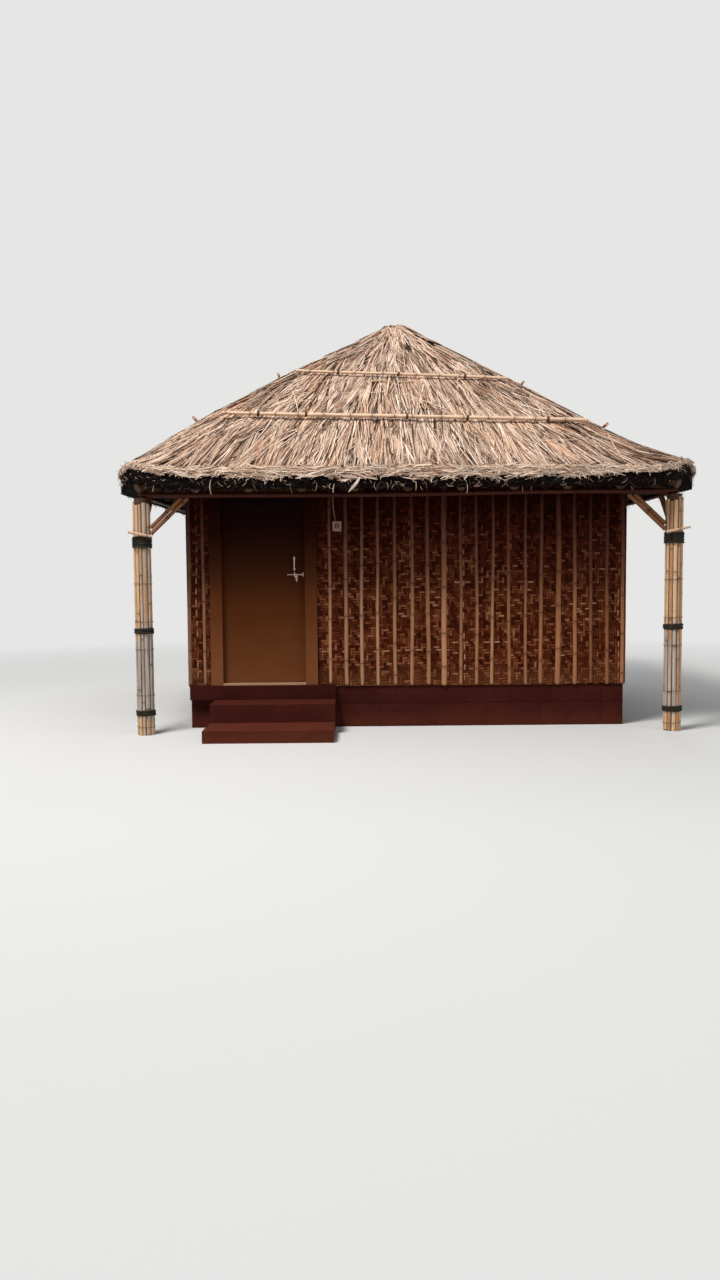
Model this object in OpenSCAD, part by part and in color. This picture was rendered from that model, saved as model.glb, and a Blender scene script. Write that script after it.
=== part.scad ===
// Square bamboo-mat hut on a block plinth, under a pyramid roof of palm thatch.
// Millimetres, +Z up. The door faces -Y. The origin is on the ground, in the middle of the plinth.

/* [Plinth and steps] */
// Width of the square plinth
plinth_w = 4720; // [4300:10:5000]
// Height of the plinth above the ground
plinth_h = 470; // [380:5:600]
// Depth of the screed floor laid into the plinth
floor_t = 50; // [30:5:100]
// Width of the plinth's rim round the floor
rim_w = 230; // [150:10:400]
// Width of the landing block before the door
landing_w = 1580; // [1500:10:1800]
// How far the landing stands out from the plinth
landing_out = 80; // [65:5:200]
// Thickness of the landing
landing_t = 155; // [100:5:220]
// Width of the two steps
step_w = 1310; // [1180:10:1400]
// Tread depth of the upper step
upper_tread = 490; // [300:10:600]
// Tread depth of the lower step
lower_tread = 540; // [300:10:650]
// Height of the lower step
lower_step_h = 125; // [80:5:150]

/* [Walls] */
// Thickness of the woven bamboo mat
mat_t = 12; // [8:1:20]
// How far the mat hangs below the top of the plinth
mat_drop = 22; // [5:1:60]
// Diameter of the wall posts
wall_post_d = 90; // [60:2:110]
// Diameter of the poles along the top of the walls
plate_d = 90; // [60:2:110]
// Width of a split bamboo batten
batten_w = 54; // [44:1:64]
// How far a batten stands out from the mat
batten_t = 22; // [12:1:24]
// Distance between battens
batten_pitch = 178; // [120:1:260]
// Distance between wall posts
wall_post_pitch = 1150; // [700:10:1400]

/* [Door] */
// Distance from the left end of the plinth to the door frame
door_in = 230; // [200:5:400]
// Clear width between the door stops
door_w = 900; // [800:10:930]
// Height of the door leaf
leaf_h = 2030; // [1800:10:2050]
// Thickness of the door leaf
leaf_t = 35; // [25:1:40]
// Width of a jamb seen from the front
jamb_w = 130; // [100:5:140]
// Depth of the door frame
frame_d = 106; // [100:1:130]
// Height of the head piece
head_h = 100; // [60:5:110]
// How far the leaf reaches behind the stops
lap = 10; // [6:1:20]
// Gap round the door leaf
door_gap = 6; // [5:0.5:8]
// Height of the threshold strip
sill_h = 20; // [12:1:40]
// Height of the wall posts above the door frame
over_door = 144; // [120:2:300]
// Length of the pull handle
handle_len = 150; // [100:5:220]
// Height of the pull handle above the foot of the leaf
handle_up = 1214; // [900:1:1300]
// Diameter of the sliding bolt
bolt_d = 14; // [10:1:18]
// Travel of the sliding bolt
bolt_travel = 50; // [40:1:60]
// Height of the sliding bolt above the foot of the leaf
bolt_up = 1171; // [900:1:1300]
// Number of hinges
hinge_count = 3; // [2:1:4]

/* [Switch box] */
// Width of the switch box
box_w = 96; // [70:1:110]
// Height of the switch box
box_h = 107; // [70:1:140]
// Depth of the switch box
box_t = 38; // [25:1:60]
// Diameter of the lead that rises from the box
lead_d = 14; // [8:1:18]
// How far the lead bows to the left
lead_bow = 30; // [10:1:60]

/* [Roof] */
// How far the eave stands out past the middles of the corner posts
eave_out = 290; // [260:5:430]
// Pitch of the roof in degrees
roof_pitch = 35.6; // [32:0.1:40]
// Thickness of the thatch, measured upright
thatch_t = 180; // [140:5:240]
// Rounding of the hips, as a share of the distance from the middle
hip_share = 0.22; // [0.15:0.01:0.3]
// How far the eave lifts at the corners
corner_lift = 100; // [0:5:130]
// How far the slopes swell out halfway up
swell = 40; // [0:1:60]
// How far the thatch leans up to the left, as a share of the distance across
lean = 0.044; // [0:0.002:0.06]
// How far the edge of the thatch is worn down
edge_drop = 10; // [0:1:60]
// Number of leaf bundles across a slope
bundle_count = 28; // [18:1:36]
// How far the leaf bundles stand up from the slope
bundle_h = 30; // [10:1:40]
// Diameter of the rafters
rafter_d = 100; // [80:2:110]
// Distance between rafters
rafter_pitch = 550; // [450:10:600]
// Diameter of the purlins
purlin_d = 60; // [40:2:70]
// Distance between purlins, measured level
purlin_pitch = 530; // [450:10:580]
// Diameter of the poles that bind the thatch
bind_d = 44; // [30:1:60]
// Distance of the upper binding poles from the middle of the roof
bind_up = 1340; // [1100:10:1500]
// Distance of the lower binding poles from the middle of the roof
bind_low = 2190; // [1900:10:2400]
// Width of the tuft at the peak
tuft_w = 130; // [90:5:220]
// Height of the tuft at the peak
tuft_h = 48; // [30:2:120]

/* [Corner posts] */
// Distance from the plinth out to the middles of the corner posts
post_out = 410; // [300:5:440]
// Diameter of the log in a corner post
core_d = 152; // [120:2:180]
// Number of split bamboo slats round a post
slat_count = 12; // [10:1:14]
// How far the slats stand out from the log
slat_t = 18; // [12:1:24]
// How far the slats stop below the eave poles
slat_short = 30; // [10:5:200]
// Diameter of the eave poles
beam_d = 58; // [40:2:80]
// Diameter of a knee brace pole
brace_d = 44; // [30:1:60]
// How far a knee brace reaches along the eave pole
brace_run = 480; // [420:5:560]
// How far a knee brace reaches down the post
brace_drop = 395; // [320:5:460]
// Height of the band of cord below the knee braces
top_tie_h = 100; // [60:5:120]

/* [Hidden] */
$fn = 48;

// Plan lines, as distances from the middle of the hut
seat_gap = 0.5;
plinth_half = plinth_w / 2;
mat_in = plinth_half + 2;
mat_out = mat_in + mat_t;
wall_post_r = wall_post_d / 2;
plate_r = plate_d / 2;
post_line = mat_in - max(wall_post_r, plate_r) - seat_gap;
post_half = plinth_half + post_out;
eave_half = post_half + eave_out;

// Door frame, and the wall posts above it
leaf_bottom = plinth_h + sill_h + door_gap;
leaf_top = leaf_bottom + leaf_h;
head_bottom = leaf_top - lap;
frame_top = head_bottom + head_h;
post_top = frame_top + over_door;
plate_z = post_top + plate_r;
mat_bottom = plinth_h - mat_drop;
mat_top = post_top + 10;

// Levels square to the roof's slope, counted from the middle of the eave pole
slope = tan(roof_pitch);
beam_r = beam_d / 2;
rafter_r = rafter_d / 2;
purlin_r = purlin_d / 2;
lash_sink = 3;
rafter_level = beam_r + rafter_r + seat_gap;
purlin_level = rafter_level + rafter_r + purlin_r - lash_sink;
thatch_level = purlin_level + purlin_r + seat_gap;
beam_z = plate_z - (beam_r - plate_r) / cos(roof_pitch) - (post_half - post_line) * slope;
function level_z(w, level) = beam_z + level / cos(roof_pitch) + (post_half - w) * slope;

// The hip rafters stand on the corners of the eave poles and touch the undersides of the purlins
hip_pitch = atan(slope / sqrt(2));
hip_foot = beam_r * sqrt(1 + slope * slope) + seat_gap;
hip_head = (rafter_level + rafter_r - lash_sink) / cos(roof_pitch) - 2 * seat_gap;
hip_r = (hip_head - hip_foot) / (1 / cos(hip_pitch) + 1 / cos(roof_pitch));
hip_level = (hip_foot + hip_r / cos(hip_pitch)) * cos(roof_pitch);

// Door places
frame_proud = 14;
frame_front = -mat_out - batten_t - frame_proud;
frame_back = frame_front + frame_d;
leaf_back = frame_back;
leaf_front = leaf_back - leaf_t;
stop_back = leaf_front - door_gap;
frame_left = door_in - plinth_half;
opening_left = frame_left + jamb_w;
opening_right = opening_left + door_w;
frame_right = opening_right + jamb_w;
leaf_left = opening_left - lap;
leaf_right = opening_right + lap;

// Hinges
pin_r = 3;
knuckle_r = 6;
pin_play = 0.1;
hinge_h = 100;
hinge_wing = 26;
hinge_plate_t = 3;
knuckle_gap = 0.6;
hinge_x = leaf_left - door_gap / 2;
hinge_y = leaf_back + knuckle_r;
hinge_inset = 200;
function hinge_z(i) = leaf_bottom + hinge_inset + i * (leaf_h - 2 * hinge_inset - hinge_h) / (hinge_count - 1);

// Bolt and handle
bolt_r = bolt_d / 2;
bolt_y = leaf_front - 22;
bolt_z = leaf_bottom + bolt_up;
bolt_tip = opening_right - 14;
bolt_play = 0.1;
staple_w = 12;
staple_wall = 5;
staple_right = opening_right - 22;
tongue_w = 20;
knob_r = 10;
staple_left = staple_right - staple_w - tongue_w - bolt_travel - 10;
tongue_x = staple_left + staple_w / 2 + 5 + tongue_w / 2;
bolt_tail = staple_left - staple_w / 2 - bolt_travel - 5 - knob_r;
tongue_drop = 78;
handle_x = opening_right - 115;
handle_z = leaf_bottom + handle_up;
handle_r = 8;
handle_out = 38;

// Post cladding
core_r = core_d / 2;
clad_r = core_r + slat_t;
slat_angle = 180 / slat_count;
slat_r = 1.25 * core_r * tan(slat_angle) + slat_t / 4;
slat_h = beam_z - beam_r - slat_short;

// Knee braces, and the bands of cord round the posts below them
brace_foot = beam_z - brace_drop;
brace_head = beam_z - beam_r;
brace_lean = atan2(brace_head - brace_foot, brace_run - clad_r);
tie_t = 5;
tie_h = 60;
tie_low = 232;
tie_middle = 1105;
tie_top = brace_foot - brace_d / 2 / cos(brace_lean) - 10 - top_tie_h / 2;

module pole(from, to, r) {
    run = to - from;
    len = norm(run);
    translate(from)
        rotate([0, acos(run[2] / len), atan2(run[1], run[0])])
            cylinder(h = len, r = r);
}

module four_ways() {
    for (turn = [0:90:270])
        rotate([0, 0, turn])
            children();
}

// Four level poles in a square, mitred where they meet
module pole_ring(half, z, r) {
    reach = half + 3 * r;
    four_ways()
        intersection() {
            pole([-reach, -half, z], [reach, -half, z], r);
            translate([0, 0, z - 2 * r])
                linear_extrude(4 * r)
                    polygon([[0, -seat_gap], [-2 * half, -2 * half - seat_gap], [2 * half, -2 * half - seat_gap]]);
        }
}

module plinth() {
    color("#4a2020")
        difference() {
            translate([-plinth_half, -plinth_half, 0])
                cube([plinth_w, plinth_w, plinth_h]);
            translate([rim_w - plinth_half, rim_w - plinth_half, plinth_h - floor_t])
                cube([plinth_w - 2 * rim_w, plinth_w - 2 * rim_w, floor_t + 1]);
        }
}

module floor() {
    color("#7a6a5c")
        translate([rim_w - plinth_half, rim_w - plinth_half, plinth_h - floor_t])
            cube([plinth_w - 2 * rim_w, plinth_w - 2 * rim_w, floor_t]);
}

landing_left = -plinth_half;
landing_right = landing_left + landing_w;
step_right = landing_right;
step_left = step_right - step_w;
upper_step_h = plinth_h - landing_t;

module door_landing() {
    color("#54282a")
        translate([landing_left, -plinth_half - landing_out, upper_step_h])
            cube([landing_w, landing_out, landing_t]);
}

module upper_step() {
    color("#6e372d")
        translate([step_left, -plinth_half - upper_tread, 0])
            cube([step_w, upper_tread, upper_step_h]);
}

module lower_step() {
    color("#6e372d")
        translate([step_left, -plinth_half - upper_tread - lower_tread, 0])
            cube([step_w, lower_tread, lower_step_h]);
}

// Whatever stands over the landing stops on top of it
module over_landing() {
    difference() {
        children();
        translate([-plinth_w, -plinth_half - landing_out - 1, 0])
            cube([landing_right + plinth_w + seat_gap, landing_out + 2, plinth_h + seat_gap]);
    }
}

// A mat panel of the front wall; the other walls turn it
module mat_panel(left, right, bottom) {
    color("#5f2d19")
        translate([left, -mat_out, bottom])
            cube([right - left, mat_t, mat_top - bottom]);
}

// A split bamboo batten on the front mat, round side outwards
module batten(x) {
    round_r = (batten_w * batten_w / 4 + batten_t * batten_t) / (2 * batten_t);
    color("#aa7841")
        intersection() {
            translate([x, round_r - mat_out - batten_t, mat_bottom])
                cylinder(h = mat_top - mat_bottom, r = round_r);
            translate([x - batten_w, -mat_out - 2 * batten_t, mat_bottom])
                cube([2 * batten_w, 2 * batten_t, mat_top - mat_bottom]);
        }
}

module batten_row(from, to) {
    bays = round((to - from) / batten_pitch);
    for (i = [0:bays])
        batten(from + i * (to - from) / bays);
}

module wall_post(x) {
    color("#8a6236")
        translate([x, -post_line, plinth_h])
            cylinder(h = post_top - plinth_h, r = wall_post_r);
}

module side_posts() {
    bays = round(2 * post_line / wall_post_pitch);
    for (i = [0:bays])
        wall_post(-post_line + i * 2 * post_line / bays);
}

module back_posts() {
    bays = round(2 * post_line / wall_post_pitch);
    for (i = [1:bays - 1])
        wall_post(-post_line + i * 2 * post_line / bays);
}

module front_posts() {
    first = frame_right + wall_post_r + 1;
    bays = round((post_line - first) / wall_post_pitch);
    wall_post(frame_left - wall_post_r - 1);
    for (i = [0:bays - 1])
        wall_post(first + i * (post_line - first) / bays);
}

module wall_plates() {
    color("#8a6236") pole_ring(post_line, plate_z, plate_r);
}

// The jamb on the hinge side: a stop before the leaf and a cheek beside it
module jamb() {
    translate([0, 0, plinth_h])
        linear_extrude(head_bottom - plinth_h)
            polygon([
                [frame_left, frame_front], [opening_left, frame_front], [opening_left, stop_back],
                [leaf_left - door_gap, stop_back], [leaf_left - door_gap, frame_back], [frame_left, frame_back]
            ]);
}

module door_jamb_left() {
    color("#7d5030") jamb();
}

// The jamb on the lock side, with a square mortise that takes the bolt
module door_jamb_right() {
    mortise_w = bolt_d + 3;
    mortise_depth = bolt_travel + 5;
    color("#7d5030")
        difference() {
            translate([opening_left + opening_right, 0, 0]) mirror([1, 0, 0]) jamb();
            translate([opening_right - 1, bolt_y - mortise_w / 2, bolt_z - mortise_w / 2])
                cube([mortise_depth + 1, mortise_w, mortise_w]);
        }
}

module door_head() {
    color("#7d5030")
        difference() {
            translate([frame_left, frame_front, head_bottom])
                cube([frame_right - frame_left, frame_d, head_h]);
            translate([leaf_left - door_gap, stop_back, head_bottom - 1])
                cube([leaf_right - leaf_left + 2 * door_gap, frame_d, lap + door_gap + 1]);
        }
}

module door_threshold() {
    color("#be9678")
        translate([opening_left, frame_front - 8, plinth_h])
            cube([door_w, frame_d + 8, sill_h]);
}

module door_leaf() {
    color("#693e23")
        translate([leaf_left, leaf_front, leaf_bottom])
            cube([leaf_right - leaf_left, leaf_t, leaf_h]);
}

// Hinge parts, from the bottom of one hinge up
module frame_hinge() {
    third = hinge_h / 3;
    cylinder(h = hinge_h, r = pin_r);
    for (z = [0, 2 * third + knuckle_gap]) {
        translate([0, 0, z])
            cylinder(h = third - knuckle_gap, r = knuckle_r);
        translate([-hinge_wing, -knuckle_r, z])
            cube([hinge_wing, hinge_plate_t, third - knuckle_gap]);
    }
    translate([-hinge_wing, -knuckle_r, 0])
        cube([hinge_wing - knuckle_r - 1, hinge_plate_t, hinge_h]);
}

module leaf_hinge() {
    third = hinge_h / 3;
    difference() {
        union() {
            translate([0, 0, third])
                cylinder(h = third, r = knuckle_r);
            translate([0, -knuckle_r, third])
                cube([hinge_wing, hinge_plate_t, third]);
            translate([knuckle_r + 1, -knuckle_r, 0])
                cube([hinge_wing - knuckle_r - 1, hinge_plate_t, hinge_h]);
        }
        translate([0, 0, third - 1])
            cylinder(h = third + 2, r = pin_r + pin_play);
    }
}

module frame_hinges() {
    color("#6f6a64")
        for (i = [0:hinge_count - 1])
            translate([hinge_x, hinge_y, hinge_z(i)])
                frame_hinge();
}

module leaf_hinges() {
    color("#6f6a64")
        for (i = [0:hinge_count - 1])
            translate([hinge_x, hinge_y, hinge_z(i)])
                leaf_hinge();
}

module pull_handle() {
    bar_y = leaf_front - handle_out;
    rose_t = 4;
    color("#b4aaa0") {
        pole([handle_x, bar_y, handle_z], [handle_x, bar_y, handle_z + handle_len], handle_r);
        for (z = [handle_z + 18, handle_z + handle_len - 18]) {
            pole([handle_x, bar_y, z], [handle_x, leaf_front, z], handle_r - 2);
            pole([handle_x, leaf_front - rose_t, z], [handle_x, leaf_front, z], handle_r + 5);
        }
    }
}

module staple(x) {
    reach = leaf_front - bolt_y + bolt_r + staple_wall;
    half_h = bolt_r + staple_wall;
    difference() {
        union() {
            translate([x - staple_w / 2, leaf_front - reach, bolt_z - half_h])
                cube([staple_w, reach, 2 * half_h]);
            translate([x - staple_w / 2, leaf_front - 3, bolt_z - half_h - 12])
                cube([staple_w, 3, 2 * half_h + 24]);
        }
        pole([x - staple_w, bolt_y, bolt_z], [x + staple_w, bolt_y, bolt_z], bolt_r + bolt_play);
    }
}

module bolt_staples() {
    color("#a89c90") {
        staple(staple_left);
        staple(staple_right);
    }
}

// The bolt, with the pierced tongue that hangs from it
module slide_bolt() {
    color("#b4aaa0")
        difference() {
            union() {
                pole([bolt_tail, bolt_y, bolt_z], [bolt_tip, bolt_y, bolt_z], bolt_r);
                translate([bolt_tail, bolt_y, bolt_z])
                    sphere(r = knob_r);
                pole([tongue_x - tongue_w / 2, bolt_y, bolt_z], [tongue_x + tongue_w / 2, bolt_y, bolt_z], bolt_r + 3);
                translate([tongue_x, bolt_y + 2, bolt_z])
                    rotate([90, 0, 0])
                        linear_extrude(4)
                            polygon([
                                [-5, 0], [-15, -32], [-6, -52], [-9, -62], [0, -tongue_drop],
                                [9, -62], [6, -52], [15, -32], [5, 0]
                            ]);
            }
            pole([tongue_x, bolt_y - 9, bolt_z - 32], [tongue_x, bolt_y + 9, bolt_z - 32], 6);
        }
}

box_x = frame_right + 222;
box_z = 2129;

module switch_box() {
    rocker_w = 16;
    rocker_h = 30;
    color("#cfc6bb")
        difference() {
            translate([box_x - box_w / 2, -mat_out - box_t, box_z])
                cube([box_w, box_t, box_h]);
            for (side = [-1, 1])
                translate([box_x + side * 14 - rocker_w / 2, -mat_out - box_t - 1, box_z + box_h / 2 - rocker_h / 2])
                    cube([rocker_w, 5, rocker_h]);
        }
}

// The lead leaves the box, bows to the left and runs up under the eave
module box_lead() {
    lead_r = lead_d / 2;
    lead_x = box_x - 14;
    lead_foot = box_z + box_h;
    lead_len = mat_top - lead_foot;
    bow_r = (lead_len * lead_len / 4 + lead_bow * lead_bow) / (2 * lead_bow);
    bow_angle = 2 * asin(lead_len / 2 / bow_r);
    color("#cfc6bb")
        difference() {
            translate([lead_x + bow_r - lead_bow, -mat_out - lead_r - seat_gap, lead_foot + lead_len / 2])
                rotate([90, 0, 0])
                    rotate([0, 0, 180 - bow_angle / 2])
                        rotate_extrude(angle = bow_angle)
                            translate([bow_r, 0])
                                circle(r = lead_r);
            translate([lead_x - box_w, -mat_out - box_t, lead_foot - 2 * lead_r])
                cube([2 * box_w, 2 * box_t, 2 * lead_r + seat_gap / 10]);
        }
}

module corner_post(turn) {
    color("#7a5a3c")
        rotate([0, 0, turn])
            translate([-post_half, -post_half, 0])
                cylinder(h = beam_z - beam_r, r = core_r);
}

// A split slat, bowed outwards and narrowed to its share of the way round
module post_slat() {
    start = seat_gap / 2 / sin(slat_angle);
    reach = 2 * clad_r;
    difference() {
        intersection() {
            translate([clad_r - slat_r, 0, 0])
                cylinder(h = slat_h, r = slat_r);
            linear_extrude(slat_h)
                polygon([[start, 0], [start + reach, -reach * tan(slat_angle)], [start + reach, reach * tan(slat_angle)]]);
        }
        translate([0, 0, -1])
            cylinder(h = slat_h + 2, r = core_r + 0.2);
    }
}

module post_slats() {
    color("#b4875a")
        four_ways()
            translate([-post_half, -post_half, 0])
                for (i = [0:slat_count - 1])
                    rotate([0, 0, 2 * i * slat_angle])
                        post_slat();
}

// A band of cord whose middle is at height z
module tie_band(z, h) {
    translate([0, 0, z - h / 2])
        rotate_extrude()
            translate([clad_r + 0.3, 0])
                square([tie_t, h]);
}

module post_ties() {
    color("#24201e")
        four_ways()
            translate([-post_half, -post_half, 0]) {
                tie_band(tie_low, tie_h);
                tie_band(tie_middle, tie_h);
                tie_band(tie_top, top_tie_h);
            }
}

// A pair of poles from the post up to the eave pole, seen along +Y from a post at the origin
module knee_brace() {
    over_x = brace_d * cos(brace_lean);
    over_z = brace_d * sin(brace_lean);
    for (i = [0, 1])
        difference() {
            intersection() {
                translate([-i * sin(brace_lean) * (brace_d + seat_gap), 0, i * cos(brace_lean) * (brace_d + seat_gap)])
                    pole([clad_r - over_x, 0, brace_foot - over_z], [brace_run + over_x, 0, brace_head + over_z], brace_d / 2);
                translate([0, -brace_d, brace_foot - 2 * brace_d])
                    cube([2 * brace_run, 2 * brace_d, brace_head - brace_foot + 2 * brace_d]);
            }
            translate([0, 0, brace_foot - 3 * brace_d])
                cylinder(h = brace_head, r = clad_r + seat_gap);
        }
}

module knee_braces() {
    color("#9a6f4a")
        four_ways()
            translate([-post_half, -post_half, 0]) {
                knee_brace();
                rotate([0, 0, 90]) knee_brace();
            }
}

module eave_poles() {
    color("#7a5238") pole_ring(post_half, beam_z, beam_r);
}

hip_end = post_half + 30;

module hip_rafters() {
    color("#8a6236")
        four_ways()
            intersection() {
                pole([0, 0, level_z(0, hip_level)], [-hip_end, -hip_end, level_z(hip_end, hip_level)], hip_r);
                translate([-2 * eave_half - seat_gap, -2 * eave_half - seat_gap, 0])
                    cube([2 * eave_half, 2 * eave_half, 2 * level_z(0, hip_level)]);
            }
}

eave_flat = eave_half * (1 - hip_share);
eave_round = eave_half * hip_share;
outer_purlin = post_half;
rafter_end = post_half + 50;
function purlin_reach(w) = min(w - purlin_r - 5, eave_flat + sqrt(eave_round ^ 2 - max(0, w - eave_flat) ^ 2) - 40);

// Rafters and purlins of the front slope, lashed into one grid
module roof_frame() {
    side_count = floor((outer_purlin - 300) / rafter_pitch);
    purlin_count = floor((outer_purlin - 300) / purlin_pitch) + 1;
    color("#8a6236") {
        for (i = [-side_count:side_count]) {
            x = i * rafter_pitch;
            start = abs(x) + hip_r * sqrt(2) + 1.2 * rafter_r;
            pole([x, -start, level_z(start, rafter_level)], [x, -rafter_end, level_z(rafter_end, rafter_level)], rafter_r);
        }
        for (i = [0:purlin_count - 1]) {
            w = outer_purlin - i * purlin_pitch;
            z = level_z(w, purlin_level);
            pole([-purlin_reach(w), -w, z], [purlin_reach(w), -w, z], purlin_r);
        }
    }
}

// Thatch of one slope. Rows follow the rounded square plan at a distance w from the middle, and
// columns run down the slope: even ones are the hollows between leaf bundles, odd ones their ridges.
thatch_rows = [
    tuft_w / 2 + 10, bind_up / 5, bind_up * 0.45, bind_up * 0.7, bind_up,
    (bind_up + bind_low) / 2, bind_low, (bind_low + eave_half) / 2, eave_half - 90, eave_half
];
last_row = len(thatch_rows) - 1;
last_column = 2 * bundle_count;
thatch_peak = level_z(0, thatch_level) + thatch_t;

// Half the way round one side at w = 1, of which the last part bends round the hip
flat_share = 1 - hip_share;
half_way = flat_share + hip_share * PI / 4;
bundle_w = half_way / bundle_count;

// Bundles differ in place and height, but keep still at the hips and the peak
function unevenness(k, i) = sin(137 * i + 71 * k) * cos(59 * i - 83 * k);
function at_hip(i) = i == 0 || i == last_column;
function way_at(k, i) = half_way * (2 * i / last_column - 1) + (at_hip(i) || k == 0 ? 0 : 0.35 * bundle_w * unevenness(k, i));
function ridge_h(w) = min(bundle_h, 0.5 * bundle_w * w);
function ridge_at(k, i) = i % 2 == 0 || k == 0 ? 0 : ridge_h(thatch_rows[k]) * (0.8 + 0.2 * unevenness(i, k));

function swell_at(w) = swell * sin(180 * w / eave_half);
function corner_at(way) = max(0, (abs(way) - flat_share) / (half_way - flat_share));
function lift_at(w, way) = corner_lift * corner_at(way) ^ 2 * (w / eave_half) ^ 8;
function edge_at(w) = w < eave_half ? 0 : edge_drop;
function lean_at(w, x) = -lean * x * (1 - thatch_rows[0] / w) * (1 - (w / eave_half) ^ 6);
function turned_x(p, turn) = p[0] * cos(turn) - p[1] * sin(turn);
function top_z(w, way) = thatch_peak - slope * w + swell_at(w) + lift_at(w, way) - edge_at(w);
function row_xy(w, way) =
    let (turn = 45 * corner_at(way), side = way < 0 ? -1 : 1)
    corner_at(way) == 0
        ? [w * way, -w]
        : [side * w * (flat_share + hip_share * sin(turn)), -w * (flat_share + hip_share * cos(turn))];

module thatch_slope(turn) {
    last = last_column;
    across = last + 1;
    rows = last_row + 1;
    inner_peak = level_z(0, thatch_level);
    top = [for (k = [0:last_row]) for (i = [0:last])
        let (w = thatch_rows[k], way = way_at(k, i), p = row_xy(w, way))
        [p[0], p[1], top_z(w, way) + ridge_at(k, i) + lean_at(w, turned_x(p, turn))]];
    under = [for (i = [0:last]) let (p = row_xy(eave_half, way_at(last_row, i))) [p[0], p[1], inner_peak + slope * p[1]]];
    peak = [[0, 0, inner_peak], [0, 0, top[0][2]]];
    points = concat(top, under, peak);
    first_under = rows * across;
    inner = first_under + across;
    outer = inner + 1;
    color("#c8a587")
        rotate([0, 0, turn])
            polyhedron(points = points, faces = concat(
                [concat([outer], [for (i = [last:-1:0]) i])],
                [for (k = [0:rows - 2]) for (i = [0:last - 1]) let (a = k * across + i) [a, a + 1, a + across]],
                [for (k = [0:rows - 2]) for (i = [0:last - 1]) let (a = k * across + i) [a + 1, a + across + 1, a + across]],
                [for (i = [0:last - 1]) let (a = (rows - 1) * across + i) [a, a + 1, first_under + i + 1, first_under + i]],
                [concat([inner], [for (i = [0:last]) first_under + i])],
                [concat([inner, outer], [for (k = [0:rows - 1]) k * across], [first_under])],
                [concat([first_under + last], [for (k = [rows - 1:-1:0]) k * across + last], [outer, inner])]
            ));
}

// Binding poles lie on the leaf bundles, square to the slope
module binding_pole(w, reach, turn) {
    out = bind_d / 2 + 2 * seat_gap;
    y = -w - out * sin(roof_pitch);
    z = thatch_peak - slope * w + swell_at(w) + ridge_h(w) + out * cos(roof_pitch);
    color("#c8a578")
        rotate([0, 0, turn])
            pole([-reach, y, z + lean_at(w, turned_x([-reach, -w], turn))],
                 [reach, y, z + lean_at(w, turned_x([reach, -w], turn))], bind_d / 2);
}

module binding_poles() {
    for (w = [bind_up, bind_low]) {
        reach = w * (1 - hip_share / 2) + 30;
        for (turn = [0:90:270])
            binding_pole(w, reach, turn);
    }
}

module peak_tuft() {
    base_z = top_z(thatch_rows[0], 0) + seat_gap / 10;
    r = tuft_w / 2;
    color("#9c7a5a")
        translate([0, 0, base_z])
            rotate_extrude()
                polygon([[0, 0], [r, 0], [r * 0.72, tuft_h * 0.45], [r * 0.8, tuft_h], [0, tuft_h]]);
}

plinth();
floor();
door_landing();
upper_step();
lower_step();
over_landing() mat_panel(-mat_out, frame_left, mat_bottom);  // front_wall_left
over_landing() mat_panel(frame_right, mat_out, mat_bottom);  // front_wall_right
mat_panel(frame_left, frame_right, frame_top);  // front_wall_over_door
rotate([0, 0, -90]) mat_panel(-mat_in, mat_in, mat_bottom);  // left_wall
rotate([0, 0, 90]) mat_panel(-mat_in, mat_in, mat_bottom);  // right_wall
rotate([0, 0, 180]) mat_panel(-mat_out, mat_out, mat_bottom);  // back_wall
over_landing() batten_row(-mat_out + batten_w / 2, frame_left - batten_w / 2 - 40);  // front_battens_left
over_landing() batten_row(frame_right + 135, mat_out - batten_w / 2);  // front_battens_right
rotate([0, 0, -90]) batten_row(batten_w / 2 - mat_out, mat_out - batten_w / 2);  // left_battens
rotate([0, 0, 90]) batten_row(batten_w / 2 - mat_out, mat_out - batten_w / 2);  // right_battens
rotate([0, 0, 180]) batten_row(batten_w / 2 - mat_out, mat_out - batten_w / 2);  // back_battens
front_posts();  // front_wall_posts
rotate([0, 0, -90]) side_posts();  // left_wall_posts
rotate([0, 0, 90]) side_posts();  // right_wall_posts
rotate([0, 0, 180]) back_posts();  // back_wall_posts
wall_plates();
door_jamb_left();
door_jamb_right();
door_head();
door_threshold();
door_leaf();
frame_hinges();
leaf_hinges();
pull_handle();
bolt_staples();
slide_bolt();
switch_box();
box_lead();
corner_post(0);  // post_front_left
corner_post(90);  // post_front_right
corner_post(180);  // post_back_right
corner_post(270);  // post_back_left
post_slats();
post_ties();
knee_braces();
eave_poles();
hip_rafters();
roof_frame();  // roof_frame_front
rotate([0, 0, 90]) roof_frame();  // roof_frame_right
rotate([0, 0, 180]) roof_frame();  // roof_frame_back
rotate([0, 0, 270]) roof_frame();  // roof_frame_left
thatch_slope(0);  // thatch_front
thatch_slope(90);  // thatch_right
thatch_slope(180);  // thatch_back
thatch_slope(270);  // thatch_left
binding_poles();
peak_tuft();
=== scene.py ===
import math

import bpy
import numpy as np
from mathutils import Matrix, Vector
from mathutils.bvhtree import BVHTree


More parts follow.
